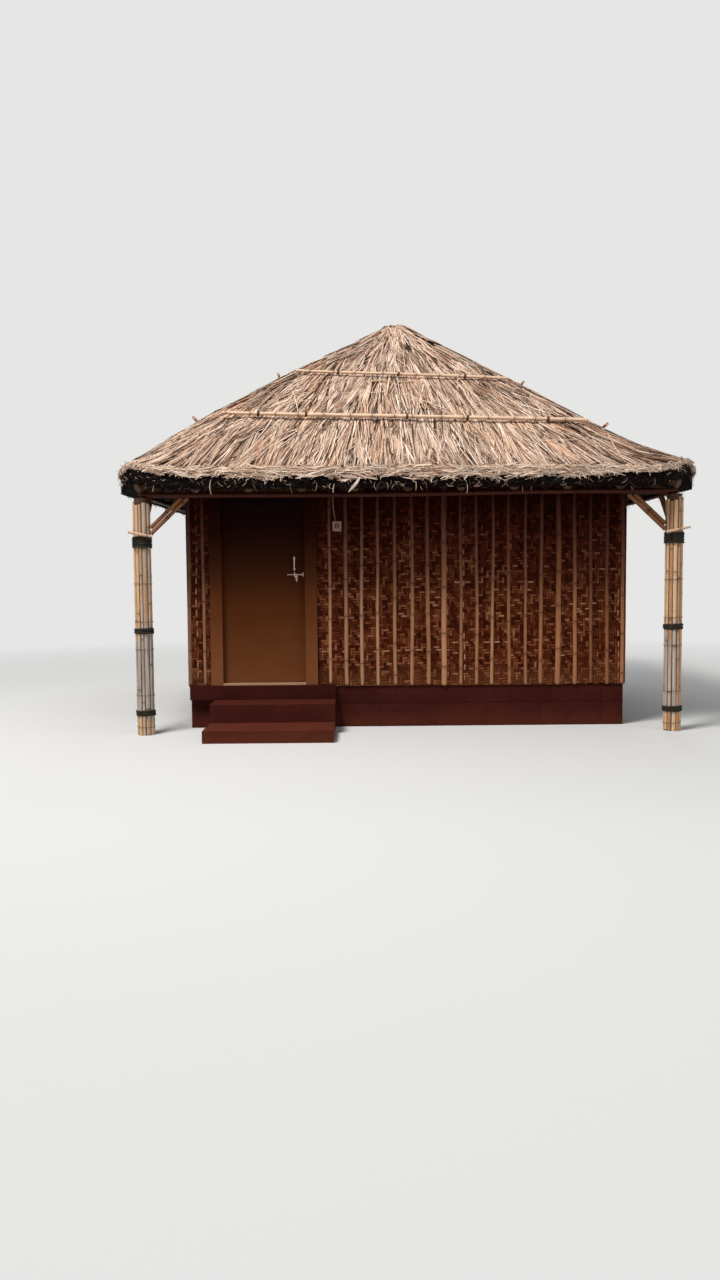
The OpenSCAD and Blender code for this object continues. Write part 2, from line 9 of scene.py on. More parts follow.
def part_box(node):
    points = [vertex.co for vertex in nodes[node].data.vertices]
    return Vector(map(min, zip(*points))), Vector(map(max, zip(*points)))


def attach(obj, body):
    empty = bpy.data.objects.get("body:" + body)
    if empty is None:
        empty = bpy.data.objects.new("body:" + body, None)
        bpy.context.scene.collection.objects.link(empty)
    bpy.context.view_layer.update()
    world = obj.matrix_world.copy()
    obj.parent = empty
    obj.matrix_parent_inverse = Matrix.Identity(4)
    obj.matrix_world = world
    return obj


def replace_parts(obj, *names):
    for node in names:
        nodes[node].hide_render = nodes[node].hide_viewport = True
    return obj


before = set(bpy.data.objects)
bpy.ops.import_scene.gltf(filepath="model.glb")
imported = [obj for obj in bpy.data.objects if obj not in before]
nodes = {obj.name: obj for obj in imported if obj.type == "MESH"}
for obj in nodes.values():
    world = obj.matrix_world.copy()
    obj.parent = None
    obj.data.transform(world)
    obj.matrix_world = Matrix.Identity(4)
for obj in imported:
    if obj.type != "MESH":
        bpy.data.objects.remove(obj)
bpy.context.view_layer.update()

# Looks of the bamboo-mat hut. Metres, +Z up, the door faces -Y.
rng = np.random.default_rng(20)
SIDES = ("front", "right", "back", "left")
TURN, QUARTER = 2 * math.pi, math.pi / 2
UP = np.array([0.0, 0.0, 1.0])

# Plan and levels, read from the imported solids; hip share and pitch are the part's own
EAVE = -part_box("thatch_front")[0][1]
UNDER_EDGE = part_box("thatch_front")[0][2]
HIP_SHARE = 0.22
FLAT_SHARE = 1 - HIP_SHARE
HALF_WAY = FLAT_SHARE + HIP_SHARE * math.pi / 4
SLOPE = math.tan(math.radians(35.6))
MAT_FACE = -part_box("front_wall_right")[0][1]
PLINTH_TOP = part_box("plinth")[1][2]
PLINTH_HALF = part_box("plinth")[1][0]
POST_HALF = (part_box("post_front_right")[0][0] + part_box("post_front_right")[1][0]) / 2

# Camera and lamps; a lamp has its place, target, size, power and colour
LENS = 28.125
CAMERA_AT = (-0.51, -13.23, 1.71)
CAMERA_TILT, CAMERA_ROLL = 86, -0.5
LAMPS = {
    "key": ((-6, -9, 15), (0, 0, 3), (5, 5), 2800, (1.0, 0.985, 0.96)),
    "fill": ((10, -12, 8), (0, 0, 2), (8, 6), 260, (0.97, 0.98, 1.0)),
    "back": ((2, 13, 12), (0, 0, 2), (9, 9), 900, (1, 1, 1)),
}
WORLD_LIGHT, WORLD_STRENGTH = (0.95, 0.97, 1.0), 0.24
BACKDROP = (0.79, 0.79, 0.785)
FLOOR_COLOUR, FLOOR_FADE = (0.72, 0.72, 0.71), (5.0, 12.5)


# Materials are written as calls that return sockets

def linear(colour):
    """A colour in whole numbers up to 255 made linear; one in floats is linear already."""
    if isinstance(colour[0], float):
        return colour
    return tuple(((c / 255 + 0.055) / 1.055) ** 2.4 if c > 10 else c / 255 / 12.92 for c in colour)


class Nodes:
    def __init__(self, tree):
        self.tree = tree
        self.tree.nodes.clear()
        self.coords = None

    def put(self, socket, value):
        if isinstance(value, bpy.types.NodeSocket):
            self.tree.links.new(value, socket)
        elif socket.type == "RGBA":
            socket.default_value = (*linear(value), 1)
        else:
            socket.default_value = value

    def node(self, kind, inputs=(), **props):
        made = self.tree.nodes.new(kind)
        for key, value in props.items():
            setattr(made, key, value)
        for key, value in dict(inputs).items():
            self.put(made.inputs[key], value)
        return made

    def place(self):
        if self.coords is None:
            self.coords = self.node("ShaderNodeTexCoord").outputs["Object"]
        return self.coords

    def uv(self):
        return self.node("ShaderNodeUVMap", uv_map="UVMap").outputs[0]

    def split(self, vector):
        return self.node("ShaderNodeSeparateXYZ", {0: vector}).outputs

    def facing_up(self):
        return self.split(self.node("ShaderNodeNewGeometry").outputs["Normal"])[2]

    def join(self, x, y, z=0.0):
        return self.node("ShaderNodeCombineXYZ", {0: x, 1: y, 2: z}).outputs[0]

    def math(self, operation, a, b=0.0, c=0.0):
        return self.node("ShaderNodeMath", {0: a, 1: b, 2: c}, operation=operation).outputs[0]

    def times(self, a, b):
        return self.math("MULTIPLY", a, b)

    def plus(self, *terms):
        total = terms[0]
        for term in terms[1:]:
            total = self.math("ADD", total, term)
        return total

    def distance(self, x, y):
        return self.math("SQRT", self.plus(self.times(x, x), self.times(y, y)))

    def scaled(self, vector, scale):
        return self.node("ShaderNodeVectorMath", {0: vector, 1: scale}, operation="MULTIPLY").outputs[0]

    def noise(self, vector, scale=1.0, detail=3.0, rough=0.55):
        inputs = {"Vector": vector, "Scale": scale, "Detail": detail, "Roughness": rough}
        return self.node("ShaderNodeTexNoise", inputs).outputs[0]

    def attribute(self, name):
        return self.node("ShaderNodeAttribute", attribute_name=name).outputs["Fac"]

    def ramp(self, factor, *stops):
        made = self.node("ShaderNodeValToRGB", {"Fac": factor})
        elements = made.color_ramp.elements
        while len(elements) < len(stops):
            elements.new(0.5)
        for element, (at, colour) in zip(elements, stops):
            element.position = at
            element.color = (*linear(colour), 1)
        return made.outputs["Color"]

    def span(self, value, low, high, to_low=0.0, to_high=1.0):
        return self.node("ShaderNodeMapRange", {0: value, 1: low, 2: high, 3: to_low, 4: to_high}).outputs[0]

    def mix(self, factor, a, b, blend="MIX"):
        made = self.node("ShaderNodeMix", {0: factor, 6: a, 7: b}, data_type="RGBA", blend_type=blend)
        return made.outputs[2]

    def tint(self, factor, base, colour):
        return self.mix(factor, base, self.mix(1.0, base, colour, "MULTIPLY"))

    def bump(self, height, distance=0.002, strength=1.0):
        inputs = {"Height": height, "Distance": distance, "Strength": strength}
        return self.node("ShaderNodeBump", inputs).outputs[0]


class Paint(Nodes):
    INPUTS = {"base": "Base Color", "rough": "Roughness", "normal": "Normal", "metal": "Metallic",
              "specular": "Specular IOR Level"}

    def __init__(self, name):
        self.mat = bpy.data.materials.new(name)
        self.mat.use_nodes = True
        super().__init__(self.mat.node_tree)
        self.out = self.node("ShaderNodeOutputMaterial")
        self.shader = self.node("ShaderNodeBsdfPrincipled")
        self.put(self.out.inputs["Surface"], self.shader.outputs[0])

    def done(self, **looks):
        for key, value in looks.items():
            self.put(self.shader.inputs[self.INPUTS[key]], value)
        return self.mat


def floor_paint():
    """Pale floor that fades out far from the hut, where the pale background takes over."""
    p = Paint("studio_floor")
    x, y, _ = p.split(p.place())
    clear = p.node("ShaderNodeBsdfTransparent").outputs[0]
    faded = p.span(p.distance(x, y), *FLOOR_FADE)
    surface = p.node("ShaderNodeMixShader", {0: faded, 1: p.shader.outputs[0], 2: clear}).outputs[0]
    p.put(p.out.inputs["Surface"], surface)
    return p.done(base=FLOOR_COLOUR, rough=0.95, specular=0.0)


STRAW_TONES = (
    (0.0, (36, 21, 15)), (0.20, (86, 59, 45)), (0.42, (159, 125, 104)), (0.66, (212, 181, 158)),
    (1.0, (248, 228, 208)),
)
GREY_TONES = (0.0, (46, 34, 28)), (0.5, (148, 126, 110)), (1.0, (228, 210, 194))


def straw_paint():
    """Dry palm leaf. Attribute tone is dark to pale, warm is grey (-1) to orange (1), shade darkens."""
    p = Paint("straw")
    u, v, _ = p.split(p.uv())
    tone, warm, shade = p.attribute("tone"), p.attribute("warm"), p.attribute("shade")
    seed = p.times(tone, 71.0)
    streak = p.noise(p.join(p.times(u, 9.0), p.times(v, 1.3), seed), 3.0, 4.0, 0.6)
    speck = p.noise(p.place(), 46.0, 3.0, 0.7)
    mixed = p.plus(p.times(tone, 0.90), p.times(streak, 0.36), -0.13)
    base = p.ramp(mixed, *STRAW_TONES)
    base = p.tint(p.span(warm, 0.0, 1.0, 0.0, 0.8), base, (246, 212, 182))
    base = p.mix(p.span(warm, 0.0, -1.0, 0.0, 0.85), base, p.ramp(mixed, *GREY_TONES))
    base = p.tint(p.span(speck, 0.62, 0.74, 0.0, 0.35), base, (150, 120, 100))
    base = p.tint(shade, base, (50, 36, 30))
    fibre = p.noise(p.join(p.times(u, 26.0), p.times(v, 2.0), seed), 3.0, 3.0, 0.6)
    rough = p.span(streak, 0.3, 0.7, 0.62, 0.85)
    return p.done(base=base, rough=rough, normal=p.bump(fibre, 0.0012, 0.8), specular=0.2)


def backing_paint():
    """The thatch behind the strands: dark brown, streaked down the slope, darker on its cut edge and
    underside, partly its own dark and partly painted shade.
    """
    p = Paint("thatch_backing")
    x, y, _ = p.split(p.place())
    angle = p.math("ARCTAN2", y, x)
    streak = p.noise(p.join(p.times(angle, 60.0), p.times(p.distance(x, y), 1.4)), 2.0, 5.0, 0.65)
    base = p.ramp(streak, (0.3, (46, 32, 25)), (0.55, (76, 55, 42)), (0.78, (118, 90, 70)))
    # Partly painted shade: faces that don't face up, the cut edge and the underside, are darkened
    base = p.tint(p.span(p.facing_up(), 0.7, 0.3), base, (58, 44, 37))
    return p.done(base=base, rough=0.9, normal=p.bump(streak, 0.02, 1.0), specular=0.1)


def mat_back_paint():
    """The mat behind its floats, seen as the dark lines of the weave and from inside the hut."""
    p = Paint("bamboo_mat_back")
    blotch = p.noise(p.place(), 9.0, 4.0, 0.6)
    base = p.ramp(blotch, (0.3, (26, 7, 3)), (0.7, (46, 17, 8)))
    return p.done(base=base, rough=0.8, normal=p.bump(blotch, 0.003), specular=0.03)


def float_paint():
    """Floats of the woven mat: dark red-brown bamboo skin, some pale, painted shade of the eave towards the
    top, dust at the foot.
    """
    p = Paint("bamboo_mat")
    u, v, _ = p.split(p.uv())
    _, _, z = p.split(p.place())
    tone, pale = p.attribute("tone"), p.attribute("pale")
    fibre = p.noise(p.join(p.times(u, 260.0), p.times(v, 14.0), p.times(tone, 60.0)), 1.0, 4.0, 0.6)
    mixed = p.plus(p.times(tone, 1.12), p.times(fibre, 0.30), -0.14)
    base = p.ramp(mixed, (0.14, (34, 9, 4)), (0.38, (64, 24, 10)), (0.54, (88, 39, 19)),
                  (0.72, (120, 66, 40)), (0.92, (160, 110, 80)))
    base = p.mix(pale, base, p.mix(fibre, (150, 100, 66), (206, 156, 116)))
    # Painted shade of the eave: darker and redder towards the top of the wall, with a ragged edge
    eave_shade_noise = p.noise(p.scaled(p.place(), (1.2, 1.2, 0.5)), 1.5, 3.0)
    base = p.tint(p.span(p.plus(z, p.times(eave_shade_noise, 0.9)), 1.9, 3.1, 0.0, 0.8), base, (132, 104, 96))
    base = p.tint(p.span(p.plus(z, p.times(eave_shade_noise, 0.2)), 1.65, 2.6), base, (177, 79, 79))
    ragged = p.plus(z, p.times(p.noise(p.place(), 5.0, 4.0, 0.6), -0.26))
    dust = p.span(ragged, PLINTH_TOP - 0.12, PLINTH_TOP + 0.10, 0.5, 0.0)
    base = p.mix(dust, base, (112, 68, 42))
    rough = p.span(fibre, 0.3, 0.7, 0.42, 0.7)
    return p.done(base=base, rough=rough, normal=p.bump(fibre, 0.0006, 0.8), specular=0.03)


def bamboo_paint(name, pale, deep, warm, knot_colour, grey=0.0, rough=0.45, painted_eave_shade=0.0):
    """Bamboo culm or split strip: lengthwise fibres, darker knots, bleached patches, tone by piece."""
    p = Paint(name)
    u, v, _ = p.split(p.uv())
    _, _, z = p.split(p.place())
    tone, knot, hue = p.attribute("tone"), p.attribute("knot"), p.attribute("warm")
    fibre = p.noise(p.join(p.times(u, 30.0), p.times(v, 1.2), p.times(tone, 50.0)), 2.0, 4.0, 0.6)
    blotch = p.noise(p.join(p.times(u, 2.0), p.times(v, 1.6), p.times(tone, 90.0)), 2.0, 3.0, 0.6)
    mixed = p.plus(p.times(tone, 0.45), p.times(blotch, 0.35), p.times(fibre, 0.25))
    middle = tuple((a + b) / 2 for a, b in zip(linear(deep), linear(pale)))
    base = p.ramp(mixed, (0.2, deep), (0.5, middle), (0.8, pale))
    base = p.mix(p.times(hue, 0.75), base, p.tint(0.6, base, warm))
    if grey:
        low_part = p.times(p.span(z, 1.20, 0.92), p.span(z, 0.16, 0.26))
        weathered = p.plus(p.times(hue, -0.6), p.times(blotch, 0.4), p.times(low_part, 0.40), -0.06)
        bleached = p.ramp(fibre, (0.3, (140, 126, 116)), (0.7, (206, 194, 184)))
        base = p.mix(p.span(weathered, -0.08, 0.06, 0.0, grey), base, bleached)
    base = p.mix(p.times(knot, 0.7), base, knot_colour)
    # Painted shade of the eave: darker and redder towards the top
    if painted_eave_shade:
        base = p.tint(p.span(z, 1.2, 2.75, 0.0, painted_eave_shade), base, (112, 78, 62))
        base = p.tint(p.span(z, 1.3, 2.45), base, (165, 112, 112))
    rough = p.span(fibre, 0.3, 0.7, rough - 0.08, rough + 0.15)
    return p.done(base=base, rough=rough, normal=p.bump(fibre, 0.0008, 0.7), specular=0.16)


def pole_paint(name, pale, deep):
    """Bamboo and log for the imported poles, which carry no strip coordinates."""
    p = Paint(name)
    fibre = p.noise(p.scaled(p.place(), (9.0, 9.0, 3.0)), 3.0, 4.0, 0.6)
    blotch = p.noise(p.place(), 1.7, 3.0)
    base = p.mix(blotch, deep, p.mix(fibre, deep, pale))
    return p.done(base=base, rough=0.6, normal=p.bump(fibre, 0.002, 0.6), specular=0.2)


def painted_masonry(name, colour, worn, tread=0.5, soil=0.6):
    """Old floor paint on cement: brush marks, worn edges and treads, splashed soil at the foot."""
    p = Paint(name)
    _, _, z = p.split(p.place())
    broad = p.noise(p.place(), 2.1, 4.0, 0.6)
    fine = p.noise(p.place(), 38.0, 4.0, 0.65)
    base = p.mix(p.span(broad, 0.35, 0.7, 0.0, 0.6), colour, worn)
    foot_marks = p.span(p.noise(p.place(), 5.0, 4.0), 0.3, 0.7, 0.45, 1.0)
    base = p.mix(p.times(p.times(p.span(p.facing_up(), 0.4, 0.95), foot_marks), tread), base, worn)
    splash = p.plus(z, p.times(p.noise(p.place(), 7.0, 4.0, 0.7), -0.22))
    base = p.mix(p.span(splash, -0.06, 0.10, soil, 0.0), base, (96, 48, 32))
    base = p.mix(p.span(fine, 0.60, 0.74, 0.0, 0.3), base, worn)
    height = p.plus(p.times(fine, 0.5), p.noise(p.place(), 9.0, 3.0))
    rough = p.span(broad, 0.3, 0.7, 0.6, 0.8)
    return p.done(base=base, rough=rough, normal=p.bump(height, 0.003, 0.8), specular=0.04)


def plain_wood(name, colour, light, stretch=(26.0, 26.0, 0.9), rough=0.55, foot=None, painted_eave_shade=0.0):
    """Painted or stained board: long grain, soft blotches; on the door a lighter foot, partly dust and partly
    painted light, and painted shade of the eave towards the top.
    """
    p = Paint(name)
    _, _, z = p.split(p.place())
    grain = p.noise(p.scaled(p.place(), stretch), 2.0, 5.0, 0.6)
    blotch = p.noise(p.scaled(p.place(), (1.5, 1.5, 0.8)), 1.5, 3.0)
    base = p.mix(p.plus(p.times(grain, 0.5), p.times(blotch, 0.5)), colour, light)
    # Lighter towards the foot: partly dust, partly painted light below the eave's shade
    if foot is not None:
        dust_and_light = p.plus(z, p.times(p.noise(p.place(), 4.0, 3.0), 0.3))
        base = p.mix(p.span(dust_and_light, PLINTH_TOP + 0.9, PLINTH_TOP + 0.05, 0.0, 0.7), base, foot)
    # Painted shade of the eave: darker and redder towards the top
    if painted_eave_shade:
        base = p.tint(p.span(z, 1.3, 2.6, 0.0, painted_eave_shade), base, (104, 76, 58))
        base = p.tint(p.span(z, 1.45, 2.15), base, (137, 79, 63))
    rough = p.span(grain, 0.3, 0.7, rough - 0.06, rough + 0.12)
    return p.done(base=base, rough=rough, normal=p.bump(grain, 0.0009, 0.6), specular=0.04)


def metal_paint(name, colour, worn, rough=0.35, metal=1.0):
    p = Paint(name)
    smudge = p.noise(p.place(), 60.0, 4.0, 0.6)
    base = p.mix(p.span(smudge, 0.45, 0.7), colour, worn)
    rough = p.span(smudge, 0.3, 0.7, rough - 0.08, rough + 0.2)
    return p.done(base=base, rough=rough, metal=metal, normal=p.bump(smudge, 0.0003, 0.5))


def plastic_paint(name, colour, grime):
    p = Paint(name)
    dirt = p.noise(p.place(), 22.0, 4.0, 0.65)
    base = p.mix(p.span(dirt, 0.45, 0.8, 0.0, 0.7), colour, grime)
    rough = p.span(dirt, 0.3, 0.7, 0.35, 0.6)
    return p.done(base=base, rough=rough, normal=p.bump(dirt, 0.0003, 0.5), specular=0.3)


def cord_paint(name, dark, middle, pale):
    p = Paint(name)
    twist = p.noise(p.scaled(p.place(), (60.0, 60.0, 160.0)), 2.0, 4.0, 0.6)
    base = p.ramp(twist, (0.3, dark), (0.55, middle), (0.8, pale))
    return p.done(base=base, rough=0.8, normal=p.bump(twist, 0.002, 1.0), specular=0.15)


def screed_paint():
    p = Paint("screed")
    broad = p.noise(p.place(), 1.3, 4.0, 0.6)
    fine = p.noise(p.place(), 70.0, 4.0, 0.6)
    base = p.mix(broad, (112, 98, 86), p.mix(fine, (142, 126, 110), (96, 70, 56)))
    rough = p.span(broad, 0.3, 0.7, 0.5, 0.8)
    return p.done(base=base, rough=rough, normal=p.bump(fine, 0.002, 0.6), specular=0.25)


STRAW = straw_paint()
BACKING = backing_paint()
MAT = float_paint()
MAT_BACK = mat_back_paint()
ROOF_BAMBOO = bamboo_paint("roof_bamboo", (236, 208, 180), (186, 150, 124), (244, 222, 200), (84, 52, 36))
# Eave poles and braces are one bamboo: the poles' copy is darkened as painted shade under the eave, the
# braces' copy is lighter as painted light
SHADED_EAVE_BAMBOO = bamboo_paint("eave_bamboo", (90, 42, 27), (46, 17, 9), (255, 190, 130), (34, 14, 9))
LIT_BRACE_BAMBOO = bamboo_paint("brace_bamboo", (160, 116, 84), (96, 60, 42), (255, 200, 150), (60, 36, 24))
BATTEN = bamboo_paint("batten_bamboo", (184, 139, 106), (116, 76, 52), (255, 202, 128), (58, 30, 19),
                      painted_eave_shade=0.9)
SLAT = bamboo_paint("slat_bamboo", (228, 194, 158), (170, 134, 104), (252, 216, 172), (74, 52, 38), 0.9, 0.5)
POLE = pole_paint("frame_bamboo", (120, 84, 54), (60, 38, 26))
LOG = pole_paint("post_log", (96, 70, 50), (56, 38, 28))
TIE = cord_paint("tie_cord", (22, 20, 17), (56, 52, 44), (128, 120, 102))
TWINE = cord_paint("brown_twine", (62, 44, 32), (98, 74, 56), (150, 120, 96))
PLINTH = painted_masonry("plinth_paint", (56, 20, 16), (76, 34, 27), 0.5, 0.45)
STEP = painted_masonry("step_paint", (62, 25, 20), (90, 43, 32), 0.7, 0.6)
STEP_UP = painted_masonry("upper_step_paint", (62, 25, 20), (84, 38, 29), 0.4, 0.2)
LEAF = plain_wood("door_leaf_paint", (83, 43, 18), (96, 51, 23), rough=0.5, foot=(126, 76, 46), painted_eave_shade=1.0)
FRAME_WOOD = plain_wood("door_frame_paint", (93, 50, 25), (107, 60, 31), foot=(140, 88, 57), painted_eave_shade=0.8)
HEAD_WOOD = plain_wood("door_head_paint", (54, 24, 12), (66, 32, 18), (0.9, 26.0, 26.0))
SILL = plain_wood("threshold_wood", (196, 158, 128), (150, 112, 86), (0.9, 26.0, 26.0), 0.65)
STEEL = metal_paint("dull_steel", (198, 166, 150), (142, 112, 98), 0.42)
HINGE = metal_paint("hinge_steel", (120, 112, 104), (88, 70, 56), 0.5, 0.8)
BOX = plastic_paint("box_plastic", (158, 120, 106), (116, 82, 70))
ROCKER = plastic_paint("rocker_plastic", (84, 52, 34), (60, 34, 22))
LEAD = plastic_paint("lead_plastic", (136, 98, 84), (92, 60, 48))
SCREED = screed_paint()


# Camera, light and floor

def add_object(name, data):
    made = bpy.data.objects.new(name, data)
    bpy.context.scene.collection.objects.link(made)
    return made


def make_camera():
    camera = bpy.data.cameras.new("camera")
    camera.sensor_width = 36
    camera.lens = LENS
    camera.clip_end = 200
    holder = add_object("camera", camera)
    holder.matrix_world = (
        Matrix.Translation(CAMERA_AT)
        @ Matrix.Rotation(math.radians(CAMERA_TILT), 4, "X")
        @ Matrix.Rotation(math.radians(CAMERA_ROLL), 4, "Z")
    )
    bpy.context.scene.camera = holder


def make_world():
    """Soft even light; the camera, and what shines, sees the pale background instead."""
    world = bpy.data.worlds.new("studio")
    bpy.context.scene.world = world
    world.use_nodes = True
    w = Nodes(world.node_tree)
    ray = w.node("ShaderNodeLightPath").outputs
    seen = w.math("MAXIMUM", ray["Is Camera Ray"], ray["Is Glossy Ray"])
    seen = w.math("MAXIMUM", seen, ray["Is Transmission Ray"])
    light = w.node("ShaderNodeBackground", {"Color": WORLD_LIGHT, "Strength": WORLD_STRENGTH}).outputs[0]
    backdrop = w.node("ShaderNodeBackground", {"Color": BACKDROP}).outputs[0]
    surface = w.node("ShaderNodeMixShader", {0: seen, 1: light, 2: backdrop}).outputs[0]
    w.node("ShaderNodeOutputWorld", {"Surface": surface})


def make_studio():
    bpy.context.scene.view_settings.view_transform = "Standard"
    make_world()
    for name, (place, target, size, power, colour) in LAMPS.items():
        lamp = bpy.data.lights.new(name, "AREA")
        lamp.shape = "RECTANGLE"
        lamp.size, lamp.size_y = size
        lamp.energy = power
        lamp.color = colour
        holder = add_object(name, lamp)
        holder.location = place
        holder.rotation_euler = (Vector(target) - Vector(place)).to_track_quat("-Z", "Y").to_euler()
    bpy.ops.mesh.primitive_plane_add(size=160, location=(0, 0, 0))
    floor = bpy.context.object
    floor.name = "studio_floor"
    floor.data.materials.append(floor_paint())


# Mesh builders

def unit(vectors):
    return vectors / np.maximum(np.linalg.norm(vectors, axis=-1, keepdims=True), 1e-9)


def xyz(x, y, z):
    """Points from coordinates, each an array or one number."""
    return np.stack(np.broadcast_arrays(x, y, z), -1).astype(float)


def turned(side):
    """Turns points of the front side to another side."""
    c, s = ((1, 0), (0, 1), (-1, 0), (0, -1))[side]
    return np.array([[c, -s, 0], [s, c, 0], [0, 0, 1]], float)


def grid_faces(rows, columns, closed=False):
    """Quads of a grid of rows by columns; closed joins the last column to the first."""
    r, c = np.meshgrid(np.arange(rows - 1), np.arange(columns if closed else columns - 1), indexing="ij")
    r, c = r.ravel(), c.ravel()
    d = (c + 1) % columns
    return np.stack([r * columns + c, r * columns + d, (r + 1) * columns + d, (r + 1) * columns + c], 1)


def many_faces(faces, count, each):
    """The faces of one small grid, with its number of points, repeated for count of them."""
    return (faces[None] + (np.arange(count) * each)[:, None, None]).reshape(-1, 4)


def add_piece(name, verts, faces, uv, mat, slot_name, **attributes):
    """A mesh object from arrays: verts (n, 3), faces (m, 4), uv and attributes one value for each vertex."""
    mesh = bpy.data.meshes.new(name)
    faces = np.asarray(faces, np.int32)
    mesh.vertices.add(len(verts))
    mesh.vertices.foreach_set("co", np.asarray(verts, np.float32).ravel())
    mesh.loops.add(faces.size)
    mesh.loops.foreach_set("vertex_index", faces.ravel())
    mesh.polygons.add(len(faces))
    mesh.polygons.foreach_set("loop_start", np.arange(0, faces.size, 4, dtype=np.int32))
    mesh.update(calc_edges=True)
    mesh.polygons.foreach_set("use_smooth", np.ones(len(faces), bool))
    layer = mesh.uv_layers.new(name="UVMap")
    layer.data.foreach_set("uv", np.asarray(uv, np.float32)[faces.ravel()].ravel())
    for key, values in attributes.items():
        layer = mesh.attributes.new(key, "FLOAT", "POINT")
        layer.data.foreach_set("value", np.asarray(values, np.float32))
    mesh.materials.append(mat)
    obj = add_object(name, mesh)
    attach(obj, "hut")
    return obj


class Parts:
    """Collects small meshes and joins them into one piece."""

    def __init__(self):
        self.verts, self.faces, self.uv, self.extra = [], [], [], {}
        self.count = 0

    def add(self, verts, faces, uv, **attributes):
        self.verts.append(np.asarray(verts, float))
        self.faces.append(np.asarray(faces, int) + self.count)
        self.uv.append(np.asarray(uv, float))
        for key, value in attributes.items():
            self.extra.setdefault(key, []).append(np.broadcast_to(value, (len(verts),)))
        self.count += len(verts)

    def build(self, name, mat, slot_name):
        extra = {key: np.concatenate(value) for key, value in self.extra.items()}
        verts, faces, uv = (np.concatenate(part) for part in (self.verts, self.faces, self.uv))
        return add_piece(name, verts, faces, uv, mat, slot_name, **extra)


# A knot of bamboo: distance from its middle, width as a share of the culm's, how dark it is
KNOT_FORM = (
    (-0.05, 0.985, 0.0), (-0.009, 1.0, 0.25), (-0.003, 1.08, 1.0), (0.003, 1.04, 1.0), (0.012, 1.0, 0.25),
    (0.05, 0.975, 0.0),
)
ROUND_END = np.array([(0.0, 0.35, 0.2), (0.006, 0.72, 0.1), (0.016, 0.93, 0.0), (0.03, 1.0, 0.0)])


def knot_stations(length, spacing, start):
    """Distances along a culm at which its form changes, with the swelling and the knot tone at each."""
    rows = [(0.0, 1.0, 0.0)]
    at = start
    while at < length - 0.03:
        for offset, swell, knot in KNOT_FORM:
            if rows[-1][0] + 0.001 < at + offset < length - 0.001:
                rows.append((at + offset, swell, knot))
        at += spacing * rng.uniform(0.75, 1.25)
    rows.append((length, 1.0, 0.0))
    return np.array(rows)


def culm(parts, points, radius, spacing=0.34, around=12, taper=0.06, wobble=0.004, arc=None, flatten=1.0,
         facing=None, tone=None, warm=0.5, round_end=False, lift=0.0):
    """A bamboo culm along points, with knots. arc limits it to part of the round, as on a split strip:
    (from, to) in degrees about facing, and the open side is closed by a flat back."""
    reach = np.concatenate([[0], np.cumsum(np.linalg.norm(np.diff(points, axis=0), axis=1))])
    length = reach[-1]
    rows = knot_stations(length, spacing, rng.uniform(0.1, spacing))
    if round_end:
        rows = np.concatenate([ROUND_END, rows[rows[:, 0] > 0.031]])
    along, swell, knots = rows.T
    centre = np.stack([np.interp(along, reach, points[:, k]) for k in range(3)], 1)
    run = unit(np.gradient(centre, along, axis=0))
    if facing is None:
        facing = (0.0, 0.0, 1.0) if abs(run[0][2]) < 0.8 else (0.0, -1.0, 0.0)
    a = unit(np.array(facing) - run * (run @ np.array(facing))[:, None])
    b = np.cross(run, a)
    phase = rng.uniform(0, 6.28, 2)
    centre = centre + b * (np.sin(along * 2.1 + phase[0]) * wobble)[:, None]
    if arc is None:
        centre = centre + a * (np.cos(along * 1.7 + phase[1]) * wobble)[:, None]
        angles = np.linspace(0, TURN, around, endpoint=False)
    else:
        angles = np.radians(np.linspace(*arc, around))
    size = radius * (1 - taper * along / max(length, 0.01)) * swell
    tone = rng.uniform(0, 1) if tone is None else tone
    shape = np.cos(angles)[None, :, None] * a[:, None] * flatten + np.sin(angles)[None, :, None] * b[:, None]
    ring = centre[:, None] + size[:, None, None] * shape
    faces = grid_faces(len(rows), around, True)
    uv = np.stack([np.tile(angles * radius, len(rows)), np.repeat(along + tone * 7, around)], 1)
    looks = {"tone": tone + lift, "warm": warm}
    parts.add(ring.reshape(-1, 3), faces, uv, knot=np.repeat(knots, around), **looks)
    for end, sign in ((0, 1), (len(rows) - 1, -1)):
        middle = ring[end].mean(0)
        hollow = np.repeat((middle + run[end] * sign * radius * 0.25)[None], around, 0)
        disc = np.concatenate([ring[end], ring[end] * 0.35 + middle * 0.65, hollow])
        faces = grid_faces(3, around, True)[:, ::-sign]
        knot = np.repeat([0.0, 0.0, 0.1] if round_end else [0.1, 0.5, 0.8], around)
        parts.add(disc, faces, np.zeros((len(disc), 2)), knot=knot, **looks)


def tube(parts, points, radius, around=5, tone=0.5):
    """A cord or wire along points."""
    run = unit(np.gradient(points, axis=0))
    a = unit(np.cross(run, (0.31, 0.22, 0.92)))
    b = np.cross(run, a)
    angles = np.linspace(0, TURN, around, endpoint=False)
    shape = np.cos(angles)[None, :, None] * a[:, None] + np.sin(angles)[None, :, None] * b[:, None]
    count = len(points)
    uv = np.stack([np.tile(angles * radius, count), np.repeat(np.arange(count) * 0.02, around)], 1)
    faces = grid_faces(count, around, True)
    parts.add((points[:, None] + radius * shape).reshape(-1, 3), faces, uv, tone=tone, knot=0.0, warm=0.5)


